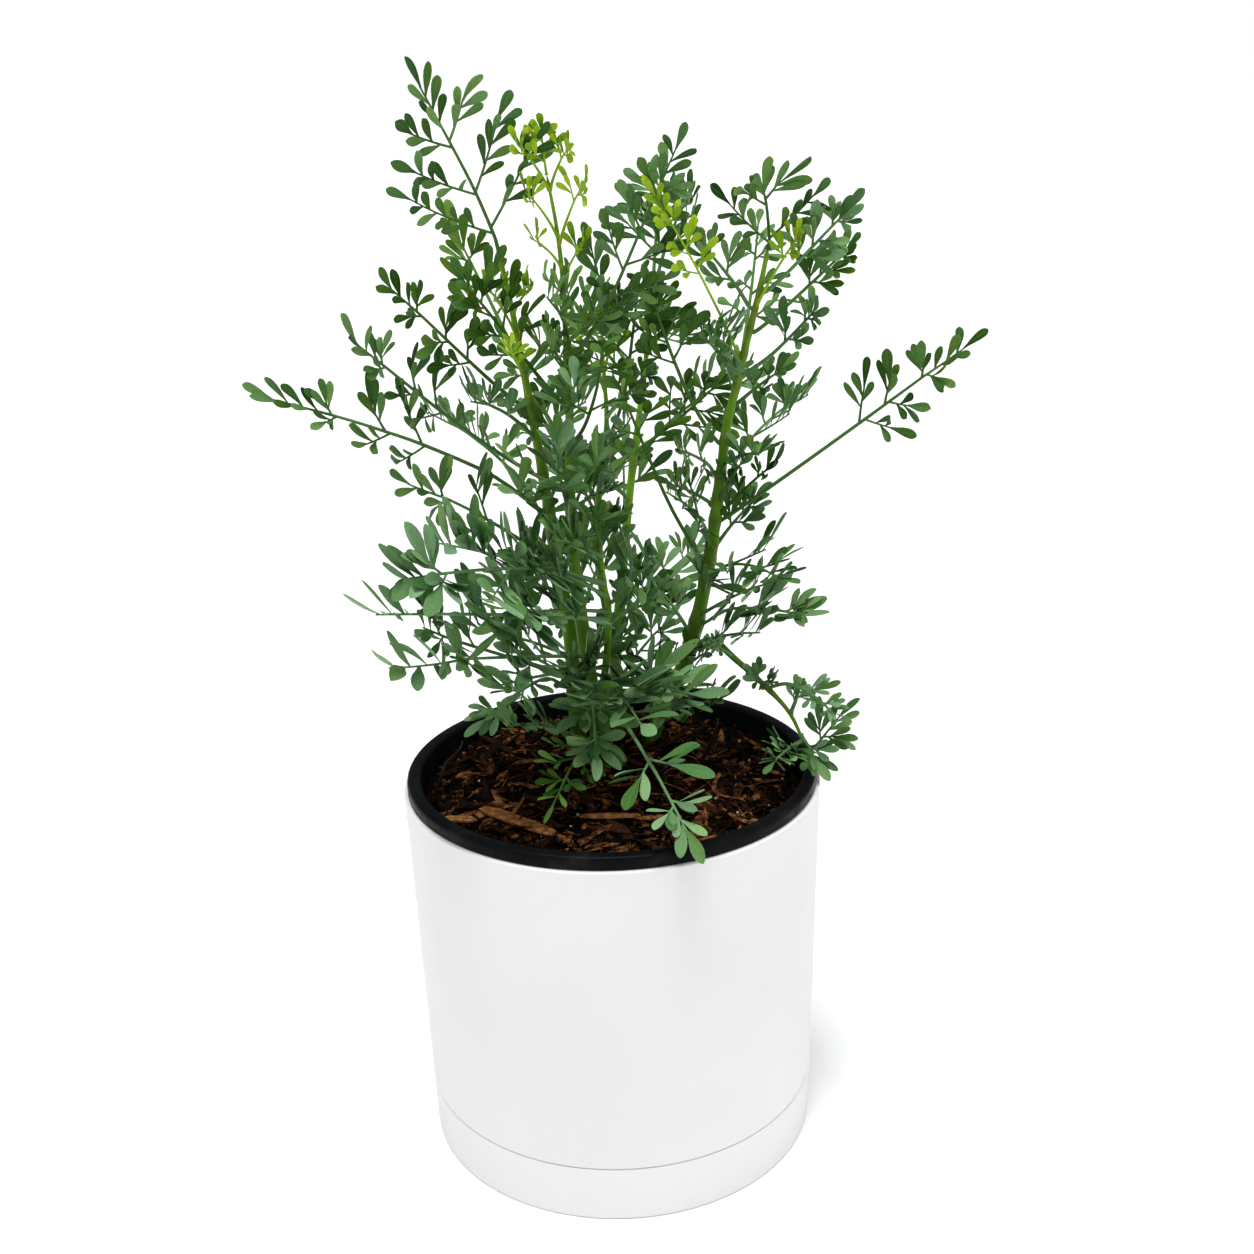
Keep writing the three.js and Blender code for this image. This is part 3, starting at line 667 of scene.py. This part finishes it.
for name in cane_names:
    path, radius = cane_paths[name], cane_radii[name]
    travelled = np.concatenate([[0], np.cumsum(np.linalg.norm(np.diff(path, axis=0), axis=-1))])
    joints = [travelled[nearest_on_cane(name, node_points(leaf)[0][leaf_spine(leaf)[1][0]].mean(axis=0))]
              for leaf in leaf_names if leaf.startswith(name)]
    swelling = np.exp(-((travelled[:, None] - np.array(joints)) / JOINT_REACH) ** 2).max(axis=1)
    closing = np.sqrt(np.clip((travelled[-1] - travelled) / radius[-1], CANE_END, 1))
    along = travelled / travelled[-1]
    full = radius * (1 - CANE_TAPER * along ** 2) * (1 + JOINT_SWELLING * swelling)
    skin = tube(path, full * closing, CANE_SIDES, np.array([1.0, 0.2, 0.0]))
    piece = add_piece(name + "_stem", skin.reshape(-1, 3), loop_faces(1, CANE_ROWS, CANE_SIDES), green_cane,
                      [name], sharp=60)
    numbers = np.stack([along, 0.5 * swelling, 0 * along], axis=-1)
    set_numbers(piece, "growth", np.repeat(numbers, CANE_SIDES, axis=0))

# ---- leaves ----
# A rue leaf is divided twice: a green stalk carries pairs of side sprays, and each spray carries small
# leaflets shaped like spoons, alternately left and right with one at its end. They are thin, waxy and blue
# green, or yellow green while young.
BLADE_ROWS = np.array([0.0, 0.22, 0.42, 0.6, 0.76, 0.88, 0.96, 1.0])
BLADE_ACROSS = np.array([0.0, 0.55, 1.0, 0.0, -1.0, -0.55])
BLADE_RAISED = np.array([0.5, 0.9, 0.0, -0.8, 0.0, 0.9])
BLADE_THICK = 0.32 * MM
STALK_SIDES = 6
STALK_ROWS = 26
SPRAY_ROWS = 9
# The share of a side stalk where its first leaflet stands: when leaflets line it, and when they fan out.
FEATHER_START = 0.15
FAN_START = 0.45
# Shares of a side spray: the most that a leaflet can be, how far the end leaflet starts back from the tip,
# and how far the stalk bows out and sags.
LEAFLET_LIMIT = 0.85
END_LEAFLET = 0.9
SPRAY_BOW = 0.1
SPRAY_SAG = 0.03
SIDE_STALK = 0.62
SPRAY_STAGGER = 1.5 * MM
CAD_FIRST_TIPS = 4
CAD_TIPS_APART = 5
# The leaves that are yellow green and still unfolding, those with long broad leaflets, and those whose
# leaflets are larger or smaller than their height on the plant would make them.
YOUNG = {"middle_cane_leaf_03", "inner_cane_leaf_01", "right_cane_leaf_07"}
BROAD = {"front_cane_leaf_02", "right_cane_leaf_14", "middle_cane_leaf_08", "right_cane_leaf_13"}
SCALED = {"front_cane_leaf_04": 0.6, "front_cane_leaf_05": 1.1, "low_branch_leaf_01": 0.85,
          "low_branch_leaf_02": 0.8}


class Growth:
    """The closed bodies that make up one leaf, with the numbers its material reads at each point: tone, youth
    and waxiness, and for a blade how far along, how far out from its midrib, and if it faces up."""

    def __init__(self):
        self.points = []
        self.faces = []
        self.looks = []
        self.blades = []
        self.count = 0

    def add(self, points, looks, blades):
        bodies, rows, columns = points.shape[:3]
        self.faces += loop_faces(bodies, rows, columns, self.count)
        self.points.append(points.reshape(-1, 3))
        self.looks.append(np.broadcast_to(looks, points.shape).reshape(-1, 3))
        self.blades.append(np.broadcast_to(blades, points.shape).reshape(-1, 3))
        self.count += bodies * rows * columns

    def finish(self, name, finish, slot, nodes=()):
        piece = add_piece(name, np.vstack(self.points), self.faces, finish, nodes, sharp=70)
        set_numbers(piece, "looks", np.vstack(self.looks))
        set_numbers(piece, "blade", np.vstack(self.blades))


def half_width(u, widest):
    """Half width of a spoon-shaped blade as a share of its greatest: a narrow claw that swells as sin^1.7 up
    to the widest place, and beyond it the quarter ellipse sqrt(1 - s^2)."""
    swell = np.clip(u / widest, 0, 1)
    claw = 0.16 + 0.84 * np.sin(math.pi / 2 * swell) ** 1.7
    past = np.clip((u - widest) / (1 - widest), 0, 0.985)
    return claw * np.sqrt(1 - past ** 2)


def grow_blades(growth, start, along, up, length, width, style, random):
    """Adds leaflets. Over a blade u runs along and v across, the skin is l u along, w(u) v across, and
    upwards h(v) t(u) + fold |v| w(u) + bend l u^2."""
    count = len(start)
    sized = lambda numbers: np.asarray(numbers)[:, None, None]
    u = BLADE_ROWS[None, :, None]
    v = BLADE_ACROSS[None, None, :]
    widest = sized(random.uniform(*style["widest"], count))
    shape = half_width(u, widest)
    fold = sized(random.uniform(0.05, 0.5, count))
    bend = sized(random.normal(style["bend"], 0.1, count))
    sickle = sized(random.normal(0, 0.06, count))
    thick = BLADE_THICK * np.sqrt(shape)
    half = sized(width) / 2 * shape
    forwards = sized(length) * u * (1 - 0.25 * np.abs(bend) * u) + 0 * v
    sideways = half * v + sized(length) * sickle * u ** 2
    upwards = thick * BLADE_RAISED + fold * np.abs(v) * half + sized(length) * bend * u ** 2
    across = np.cross(along, up)
    points = sweep(start, along, across, up, forwards, sideways, upwards)
    tone = random.uniform(0, 1, (count, 1, 1, 1))
    youth = np.clip(style["youth"] + random.normal(0, 0.05, (count, 1, 1, 1)), 0, 1)
    looks = np.concatenate([tone, youth, 0 * tone + style["wax"]], axis=-1)
    along_blade = np.broadcast_to(u, points.shape[:3])
    out = np.broadcast_to(np.abs(v), points.shape[:3])
    upper = np.broadcast_to(BLADE_RAISED > -0.5, points.shape[:3])
    growth.add(points, looks, np.stack([along_blade, out, upper], axis=-1))


def grow_stalk(growth, path, radius, up, style, tone):
    """Adds a round stalk along a path."""
    skin = tube(path, radius, STALK_SIDES, up)[None]
    growth.add(skin, np.array([tone, style["youth"], style["wax"]]), np.array([0.0, 0.5, 2.0]))


def grow_spray(growth, base, tip, outwards, up, style, random):
    """Adds one side spray: a thin stalk on the curve (1-t)^2 a + 2t(1-t) c + t^2 b, with leaflets alternately
    left and right of it and one at its end. Where few fit along it, they fan out from its outer half."""
    reach = np.linalg.norm(tip - base)
    blade = min(style["blade"] * random.uniform(0.88, 1.12), LEAFLET_LIMIT * reach)
    middle = (base + tip) / 2 + SPRAY_BOW * reach * outwards - SPRAY_SAG * reach * up
    stem_end = 1 - END_LEAFLET * blade / reach
    t = np.linspace(0, stem_end + 0.05, SPRAY_ROWS)[:, None]
    curve = lambda t: (1 - t) ** 2 * base + 2 * t * (1 - t) * middle + t ** 2 * tip
    heading = lambda t: unit(2 * (1 - t) * (middle - base) + 2 * t * (tip - middle))
    radius = style["stalk"] * SIDE_STALK * np.linspace(1, 0.6, SPRAY_ROWS)
    grow_stalk(growth, curve(t), radius, up, style, random.uniform(0.3, 0.7))
    fitting = int(round(stem_end * reach / style["spacing"]))
    first = FEATHER_START if fitting > style["fan"] else FAN_START * stem_end
    at_sides = max(fitting, style["fan"])
    t = np.linspace(first, stem_end, at_sides + 1)[:-1] + random.uniform(-0.015, 0.015, at_sides)
    side = np.where((np.arange(at_sides) + random.integers(2)) % 2 == 0, 1.0, -1.0)
    t = np.append(t, stem_end)[:, None]
    side = np.append(side, 0.0)[:, None]
    ahead = heading(t)
    flat_up = unit(up - (up * ahead).sum(-1, keepdims=True) * ahead)
    right = np.cross(ahead, flat_up)
    splay = np.radians(style["splay"] + random.normal(0, 5, (at_sides + 1, 1)))
    lift = np.radians(style["lift"] + random.normal(0, 7, (at_sides + 1, 1)))
    way = np.cos(splay) * ahead + np.sin(splay) * side * right
    way = unit(np.where(side == 0, ahead + 0.06 * right * random.normal(), way))
    blade_way = unit(np.cos(lift) * way + np.sin(lift) * flat_up)
    blade_up = unit(flat_up - (flat_up * blade_way).sum(-1, keepdims=True) * blade_way)
    roll = np.radians(random.normal(0, style["roll"], (at_sides + 1, 1)))
    blade_up = np.cos(roll) * blade_up + np.sin(roll) * np.cross(blade_way, blade_up)
    length = blade * random.uniform(0.8, 1.0, at_sides + 1)
    length *= np.append(np.linspace(0.85, 0.95, at_sides), 1.1)
    width = (0.7 * length + 0.3 * style["blade"]) * random.uniform(*style["width"], at_sides + 1)
    grow_blades(growth, curve(t), blade_way, blade_up, length, width, style, random)


def grow_leaf(growth, spine, ups, pair_places, right_tips, left_tips, style, random):
    """Adds a whole leaf: the stalk through the spine's points, a pair of sprays at each pair place, which
    counts points of the spine, and a last spray from the last pair to the tip."""
    path = smooth_path(spine, STALK_ROWS)
    upper = unit(smooth_path(ups, STALK_ROWS))
    row_of = lambda place: int(round(place * (STALK_ROWS - 1) / (len(spine) - 1)))
    last = row_of(pair_places[-1])
    radius = style["stalk"] * np.interp(np.arange(last + 1), [0, 2, last], [1.6, 1.0, SIDE_STALK])
    grow_stalk(growth, path[:last + 1], radius, upper[:last + 1], style, random.uniform(0.3, 0.7))
    for place, right_tip, left_tip in zip(pair_places, right_tips, left_tips):
        row = row_of(place)
        ahead = unit(path[min(row + 1, STALK_ROWS - 1)] - path[row - 1])
        right = unit(np.cross(ahead, upper[row]))
        for tip, side in ((right_tip, 1.0), (left_tip, -1.0)):
            stagger = SPRAY_STAGGER * side * random.uniform(0.3, 1.2)
            grow_spray(growth, path[row] + stagger * ahead, tip, side * right, upper[row], style, random)
    sideways = unit(np.cross(unit(spine[-1] - path[last]), upper[last]))
    grow_spray(growth, path[last], spine[-1], 0.3 * sideways * random.normal(), upper[last], style, random)


def leaf_style(height, kind, random, larger=1.0):
    """Leaflets low on the plant are longer and paler than those above. A broad leaf has long, wide, pale
    leaflets, and a young one small yellow green ones."""
    low = float(np.interp(height, [0.50, 0.66], [1.0, 0.0]))
    style = {
        "blade": (16.0 + 2.5 * low) * MM, "spacing": (3.9 + 0.9 * low) * MM,
        "width": (0.225, 0.3), "widest": (0.7 - 0.08 * low, 0.84 - 0.08 * low),
        "bend": 0.06 - 0.1 * low, "splay": 28 + 5 * low, "lift": 28 - 8 * low, "roll": 14 + 8 * low,
        "stalk": 0.95 * MM, "fan": 3, "youth": 0.04 + 0.1 * random.uniform(),
        "wax": float(np.clip(random.normal(0.3 + 0.4 * low, 0.25), 0, 1)),
    }
    if kind == "broad":
        style.update(blade=23 * MM, spacing=5.0 * MM, width=(0.24, 0.31), widest=(0.5, 0.62), splay=42, fan=5,
                     wax=0.9)
    if kind == "young":
        style.update(blade=10 * MM, spacing=3.4 * MM, width=(0.3, 0.38), stalk=0.65 * MM, fan=2, youth=0.92,
                     wax=0.1)
    style["blade"] *= larger
    return style


rue_leaf, tree, shader = new_finish("rue_leaf", 0.48, 0.07)
tone, youth, wax = stored_numbers(tree, "looks")
_, out_from_rib, faces_up = stored_numbers(tree, "blade")
mature = ramp(tree, tone, (0.0, (0.005, 0.036, 0.002)), (0.5, (0.032, 0.114, 0.016)),
              (1.0, (0.090, 0.215, 0.055)))
waxy = ramp(tree, tone, (0.0, (0.028, 0.108, 0.026)), (1.0, (0.205, 0.365, 0.205)))
fresh = ramp(tree, tone, (0.0, (0.19, 0.36, 0.006)), (1.0, (0.40, 0.58, 0.02)))
underside = ramp(tree, faces_up, (0.0, (0.35, 0.35, 0.35)), (1.0, (0.0, 0.0, 0.0)))
aged = blend(tree, underside, blend(tree, wax, mature, waxy), waxy)
green = blend(tree, youth, aged, fresh)
rib = ramp(tree, out_from_rib, (0.0, (1.0, 1.0, 1.0)), (0.14, (0.0, 0.0, 0.0)))
ribbed = blend(tree, rib, green, blend(tree, 0.25, green, (0.20, 0.34, 0.12)))
rim = ramp(tree, out_from_rib, (0.82, (0.0, 0.0, 0.0)), (1.0, (0.4, 0.4, 0.4)))
rimmed = blend(tree, rim, ribbed, (0.16, 0.27, 0.06))
dots = ramp(tree, object_noise(tree, 1500, 2), (0.34, (0.78, 0.82, 0.78)), (0.5, (1.0, 1.0, 1.0)),
            (0.72, (1.12, 1.1, 1.14)))
tree.links.new(blend(tree, 1.0, rimmed, dots, "MULTIPLY"), shader.inputs["Base Color"])
tree.links.new(rescale(tree, object_noise(tree, 300, 3), 0.42, 0.62), shader.inputs["Roughness"])
add_bump(tree, shader, object_noise(tree, 1200, 3), 0.12 * MM)

# A CAD leaf has four points to a section: one on each edge, which has one neighbour in the next section, and
# one on each face, which has three. The edges of its fifth section, and of every fifth one after it, are the
# tips of a pair of side sprays.
for number, node in enumerate(leaf_names):
    random = np.random.default_rng(700 + number)
    cane = node.split("_leaf_")[0]
    points, loops, joined = leaf_spine(node)
    links = np.array([joined[np.ix_(here, ahead)].sum(axis=1) for here, ahead in zip(loops, loops[1:])])
    edge_points = np.array([points[here[count == 1]] for here, count in zip(loops, links)])
    flat_points = np.array([points[here[count == 3]] for here, count in zip(loops, links)])
    pairs = (len(loops) - CAD_FIRST_TIPS) // CAD_TIPS_APART
    tip_rows = CAD_FIRST_TIPS + CAD_TIPS_APART * np.arange(pairs)
    centres = flat_points.mean(axis=1)
    thick = unit(flat_points[:, 0] - flat_points[:, 1])
    for row in range(1, len(thick)):
        thick[row] *= math.copysign(1, thick[row] @ thick[row - 1])
    raised = ((edge_points[tip_rows].mean(axis=1) - centres[tip_rows]) * thick[tip_rows]).sum()
    thick *= math.copysign(1, raised)
    ahead = unit(np.gradient(centres, axis=0))
    right = np.cross(ahead, thick)
    first_is_right = ((edge_points[:, 0] - edge_points[:, 1]) * right).sum(axis=1) > 0
    right_points = np.where(first_is_right[:, None], edge_points[:, 0], edge_points[:, 1])
    left_points = np.where(first_is_right[:, None], edge_points[:, 1], edge_points[:, 0])
    tip = points[loops[-1]].mean(axis=0)
    joint = cane_paths[cane][nearest_on_cane(cane, centres[0])]
    rows = np.concatenate([[0, 1], tip_rows - 1, [len(centres) - 1]])
    spine = np.vstack([joint, centres[rows], tip])
    ups = np.vstack([thick[0], thick[rows], thick[-1]])
    kind = "young" if node in YOUNG else "broad" if node in BROAD else "plain"
    height = centres[tip_rows].mean(axis=0)[2] / cad_high.z
    style = leaf_style(height, kind, random, SCALED.get(node, 1.0))
    growth = Growth()
    grow_leaf(growth, spine, ups, 3 + np.arange(pairs), right_points[tip_rows], left_points[tip_rows], style,
              random)
    growth.finish(node + "_blades", rue_leaf, "young_leaf" if node in YOUNG else "leaf", [node])

# ---- smaller leaves ----
# Between the big leaves each cane bears smaller ones, some of them just unfolding. They are the same leaf at
# a smaller size, and they fill the middle of the plant.
GOLDEN_TURN = math.radians(137.5)
FACE_UP = np.array([0.0, -0.6, 0.75])
TO_THE_LIGHT = np.array([0.0, -0.3, 0.0])
# The share of the leafy part of the stalk that the pairs of sprays take, how much shorter the last pairs are,
# and where a spray's tip lies as shares of its length: out, ahead and up from the stalk.
PAIR_SPREAD = 0.75
SPRAY_TAPER = 0.6
SPRAY_OUT = 0.7
SPRAY_AHEAD = 0.72
SPRAY_RISE = 0.12
# Shares of a small leaf's length: its longest spray, its bow and its bare stalk.
SMALL_SPRAY = 0.46
SMALL_BOW = 0.08
LONE_BOW = 2 * MM
BARE_STALK = 0.4
LONE_BARE_STALK = {"plain": 0.35, "broad": 0.35, "young": 0.6}
# On each cane: how many smaller leaves, the shares of the cane between which they grow, and their shortest
# and longest in mm.
SMALL_LEAVES = {
    "left_cane": (6, 0.2, 0.8, 34, 56), "middle_cane": (7, 0.22, 0.76, 32, 52),
    "inner_cane": (6, 0.3, 0.85, 30, 48), "front_cane": (3, 0.45, 0.9, 28, 42),
    "right_cane": (8, 0.2, 0.8, 26, 44), "back_cane": (9, 0.15, 0.95, 38, 66),
    "low_branch": (3, 0.3, 0.8, 16, 24),
}
# Those that stand clear of the rest: the cane, the share of it below the joint, the leaf's tip in mm, its
# pairs of sprays, its longest spray in mm, and its kind.
LONE_LEAVES = [
    ("left_cane", 0.24, (-66, -10, 244), 2, 18, "plain"),
    ("left_cane", 0.8, (-60, 75, 400), 3, 24, "plain"),
    ("left_cane", 0.86, (-47, 2, 384), 2, 11, "young"),
    ("left_cane", 0.9, (-22, 6, 378), 2, 11, "young"),
    ("left_cane", 0.76, (-36, -34, 362), 2, 9, "young"),
    ("left_cane", 0.5, (-38, -30, 306), 2, 20, "plain"),
    ("left_cane", 0.1, (-52, -22, 200), 3, 17, "plain"),
    ("middle_cane", 0.98, (-33, 6, 437), 1, 12, "young"),
    ("middle_cane", 0.98, (-5, 6, 434), 1, 12, "young"),
    ("middle_cane", 0.92, (-31, 4, 419), 1, 11, "young"),
    ("middle_cane", 0.91, (1, 4, 423), 1, 13, "young"),
    ("middle_cane", 0.87, (-29, 2, 399), 1, 10, "young"),
    ("middle_cane", 0.85, (1, 2, 399), 1, 10, "young"),
    ("middle_cane", 0.62, (-9, -45, 350), 2, 20, "plain"),
    ("middle_cane", 0.5, (-20, -45, 330), 2, 20, "plain"),
    ("middle_cane", 0.48, (0, -45, 322), 2, 18, "plain"),
    ("front_cane", 0.96, (-28, -44, 288), 2, 20, "plain"),
    ("inner_cane", 0.68, (17, 5, 330), 2, 14, "plain"),
    ("inner_cane", 0.9, (-14, 30, 362), 2, 11, "young"),
    ("inner_cane", 0.95, (16, 32, 364), 2, 11, "young"),
    ("right_cane", 0.77, (37, 0, 361), 3, 15, "plain"),
    ("right_cane", 0.54, (66, 10, 310), 2, 12, "plain"),
    ("right_cane", 0.52, (82, 12, 306), 2, 12, "plain"),
    ("right_cane", 0.73, (87, 30, 340), 2, 11, "plain"),
    ("right_cane", 0.9, (86, 6, 398), 2, 12, "young"),
    ("right_cane", 0.33, (78, -22, 262), 2, 20, "plain"),
    ("right_cane", 0.28, (72, -20, 236), 2, 18, "plain"),
    ("right_cane", 0.12, (60, 0, 200), 2, 14, "plain"),
    ("low_branch", 0.58, (60, 12, 208), 1, 9, "plain"),
    ("low_branch", 0.98, (60, -44, 184), 3, 14, "plain"),
    ("low_branch", 0.95, (92, -22, 166), 1, 12, "plain"),
    ("back_cane", 0.3, (60, 130, 235), 3, 24, "plain"),
    ("front_cane", 0.5, (-58, -62, 232), 2, 26, "plain"),
    ("front_cane", 0.7, (-101, -86, 274), 3, 28, "broad"),
    ("front_cane", 0.55, (-99, -86, 254), 2, 24, "broad"),
    ("front_cane", 0.86, (-76, -66, 296), 2, 26, "broad"),
    ("front_cane", 0.8, (-56, -56, 294), 2, 24, "broad"),
    ("front_cane", 0.74, (-48, -60, 262), 2, 26, "broad"),
    ("front_cane", 0.48, (14, -62, 206), 1, 30, "broad"),
    ("front_cane", 0.46, (-14, -44, 216), 1, 26, "broad"),
    ("front_cane", 0.46, (47, -44, 215), 1, 28, "broad"),
]


def small_leaf(growth, joint, tip, upward, pairs, bare, spray, bow, style, random):
    """Adds a leaf that has no CAD body. Its spine runs from the joint to the tip, bowed by b sin(pi t), and
    each pair's tips lie shares of the spray's length out, ahead and up from the spine."""
    reach = tip - joint
    length = np.linalg.norm(reach)
    ahead = reach / length
    up = unit(upward - (upward @ ahead) * ahead)
    right = np.cross(ahead, up)
    places = bare + (1 - bare) * PAIR_SPREAD * np.arange(pairs) / pairs
    t = np.concatenate([[0, bare / 2], places, [(1 + places[-1]) / 2, 1]])
    spine = joint + t[:, None] * reach + bow * np.sin(math.pi * t)[:, None] * up
    roots = spine[2:2 + pairs]
    sizes = (spray * (1 - SPRAY_TAPER * np.arange(pairs) / pairs))[:, None]
    tips = roots + sizes * (SPRAY_AHEAD * ahead + SPRAY_RISE * up)
    out = SPRAY_OUT * sizes * right
    ups = np.broadcast_to(up, spine.shape)
    grow_leaf(growth, spine, ups, 2 + np.arange(pairs), tips + out, tips - out, style, random)


for number, (cane, (count, low_share, high_share, shortest, longest)) in enumerate(SMALL_LEAVES.items()):
    random = np.random.default_rng(300 + number)
    growth = Growth()
    path = cane_paths[cane]
    turn = random.uniform(0, 2 * math.pi)
    for share in np.linspace(low_share, high_share, count):
        turn += GOLDEN_TURN
        joint = path[int(share * (CANE_ROWS - 1))]
        lift = math.radians(random.uniform(18, 52))
        way = np.array([math.cos(turn) * math.cos(lift), math.sin(turn) * math.cos(lift), math.sin(lift)])
        way = unit(way + TO_THE_LIGHT)
        length = random.uniform(shortest, longest) * MM
        style = leaf_style(joint[2] / cad_high.z, "plain", random, 0.9)
        upward = FACE_UP + 0.25 * random.normal(size=3)
        small_leaf(growth, joint, joint + length * way, upward, int(random.integers(2, 4)), BARE_STALK,
                   SMALL_SPRAY * length, SMALL_BOW * length, style, random)
    for joint_cane, share, tip, pairs, spray, kind in LONE_LEAVES:
        if joint_cane == cane:
            joint = path[int(share * (CANE_ROWS - 1))]
            style = leaf_style(tip[2] * MM / cad_high.z, kind, random)
            small_leaf(growth, joint, np.array(tip) * MM, FACE_UP, pairs, LONE_BARE_STALK[kind], spray * MM,
                       LONE_BOW, style, random)
    growth.finish(cane + "_small_leaves", rue_leaf, "leaf")

# ---- dry twigs ----
# A few dead twigs are left under the leaves from earlier years, thin, dark and crooked. One broken stub
# stands by the crown, and a stick has fallen against the wall of the pot.
TWIG_ROWS = 16
TWIG_SIDES = 6
TWIG_CROOK = 2.2 * MM
TWIG_TAPER = 0.45
# Each row is a twig's foot, its tip and its thickness, in mm.
TWIGS = [
    ((40, 6, 166), (46, -6, 192), 2.6),
    ((-76, 6, 164), (-66, 32, 172), 1.7),
    ((12, 30, 172), (30, 0, 226), 1.3),
    ((10, 28, 190), (4, -4, 224), 1.2),
    ((14, 22, 196), (22, -8, 236), 1.1),
    ((20, 30, 186), (38, 4, 218), 1.2),
    ((6, 20, 200), (-4, -8, 220), 1.0),
    ((18, 12, 208), (10, -12, 232), 0.9),
    ((24, 12, 208), (36, -8, 228), 0.9),
    ((22, 20, 200), (26, 2, 214), 0.9),
    ((16, 34, 168), (48, 16, 200), 1.3),
    ((60, 10, 164), (54, -4, 188), 0.9),
]

twig_finish = bark_finish("dead_twig", dark=(0.006, 0.004, 0.003), middle=(0.03, 0.018, 0.01),
                          light=(0.09, 0.05, 0.025))
random = np.random.default_rng(91)
twig_bodies = []
for foot, tip, thickness in TWIGS:
    t = np.linspace(0, 1, TWIG_ROWS)[:, None]
    bends = random.normal(0, TWIG_CROOK, (3, 3)) / np.array([[1.0], [2.0], [3.0]])
    crooked = sum(bends[wave] * np.sin((wave + 1) * math.pi * t) for wave in range(len(bends)))
    path = MM * (np.array(foot) + t * (np.array(tip) - np.array(foot))) + crooked
    worn = thickness / 2 * MM * (1 - TWIG_TAPER * t[:, 0]) * random.uniform(0.85, 1.1, TWIG_ROWS)
    twig_bodies.append(tube(path, worn, TWIG_SIDES, np.array([0.3, 1.0, 0.1])))
twigs = add_piece("dry_twigs", np.concatenate(twig_bodies).reshape(-1, 3),
                  loop_faces(len(TWIGS), TWIG_ROWS, TWIG_SIDES), twig_finish, sharp=50)
set_numbers(twigs, "bark", random.uniform(0.2, 0.7, (len(TWIGS) * TWIG_ROWS * TWIG_SIDES, 3)))

# ---- studio ----
# A wide pale floor, and a surround that looks even and white. The light comes mostly from above, with a soft
# lamp to each side.
floor_finish, tree, shader = new_finish("pale_floor", 0.7, 0.1)
shader.inputs["Base Color"].default_value = (0.95, 0.95, 0.95, 1.0)
FLOOR_REACH = 30.0
floor_corners = FLOOR_REACH * np.array([(-1, -1, 0), (1, -1, 0), (1, 1, 0), (-1, 1, 0)]) + [0, 0, cad_low.z]
floor_mesh = bpy.data.meshes.new("floor")
floor_mesh.from_pydata(floor_corners.tolist(), [], [(0, 1, 2, 3)])
floor_mesh.materials.append(floor_finish)
floor = bpy.data.objects.new("floor", floor_mesh)
bpy.context.collection.objects.link(floor)

world = bpy.data.worlds.new("white_surround")
world.use_nodes = True
tree = world.node_tree
sky = tree.nodes["Background"]
direction = tree.nodes.new("ShaderNodeTexCoord")
heights = tree.nodes.new("ShaderNodeSeparateXYZ")
tree.links.new(direction.outputs["Generated"], heights.inputs["Vector"])
glow = ramp(tree, heights.outputs["Z"], (0.15, (0.16, 0.16, 0.17)), (0.7, (0.34, 0.35, 0.36)))
straight_seen = tree.nodes.new("ShaderNodeLightPath").outputs["Is Camera Ray"]
tree.links.new(blend(tree, straight_seen, glow, (1.0, 1.0, 1.0)), sky.inputs["Color"])
bpy.context.scene.world = world
bpy.context.scene.view_settings.view_transform = "Standard"

for name, place, power, softness in (("top_light", (-0.06, -0.12, 1.0), 2.5, 20),
                                     ("left_light", (-1.0, -0.45, 0.6), 0.85, 90),
                                     ("right_light", (1.0, -0.45, 0.6), 1.15, 90)):
    lamp = bpy.data.lights.new(name, "SUN")
    lamp.energy = power
    lamp.angle = math.radians(softness)
    holder = bpy.data.objects.new(name, lamp)
    holder.rotation_euler = Vector(place).to_track_quat("Z", "Y").to_euler()
    bpy.context.collection.objects.link(holder)

bpy.context.view_layer.update()
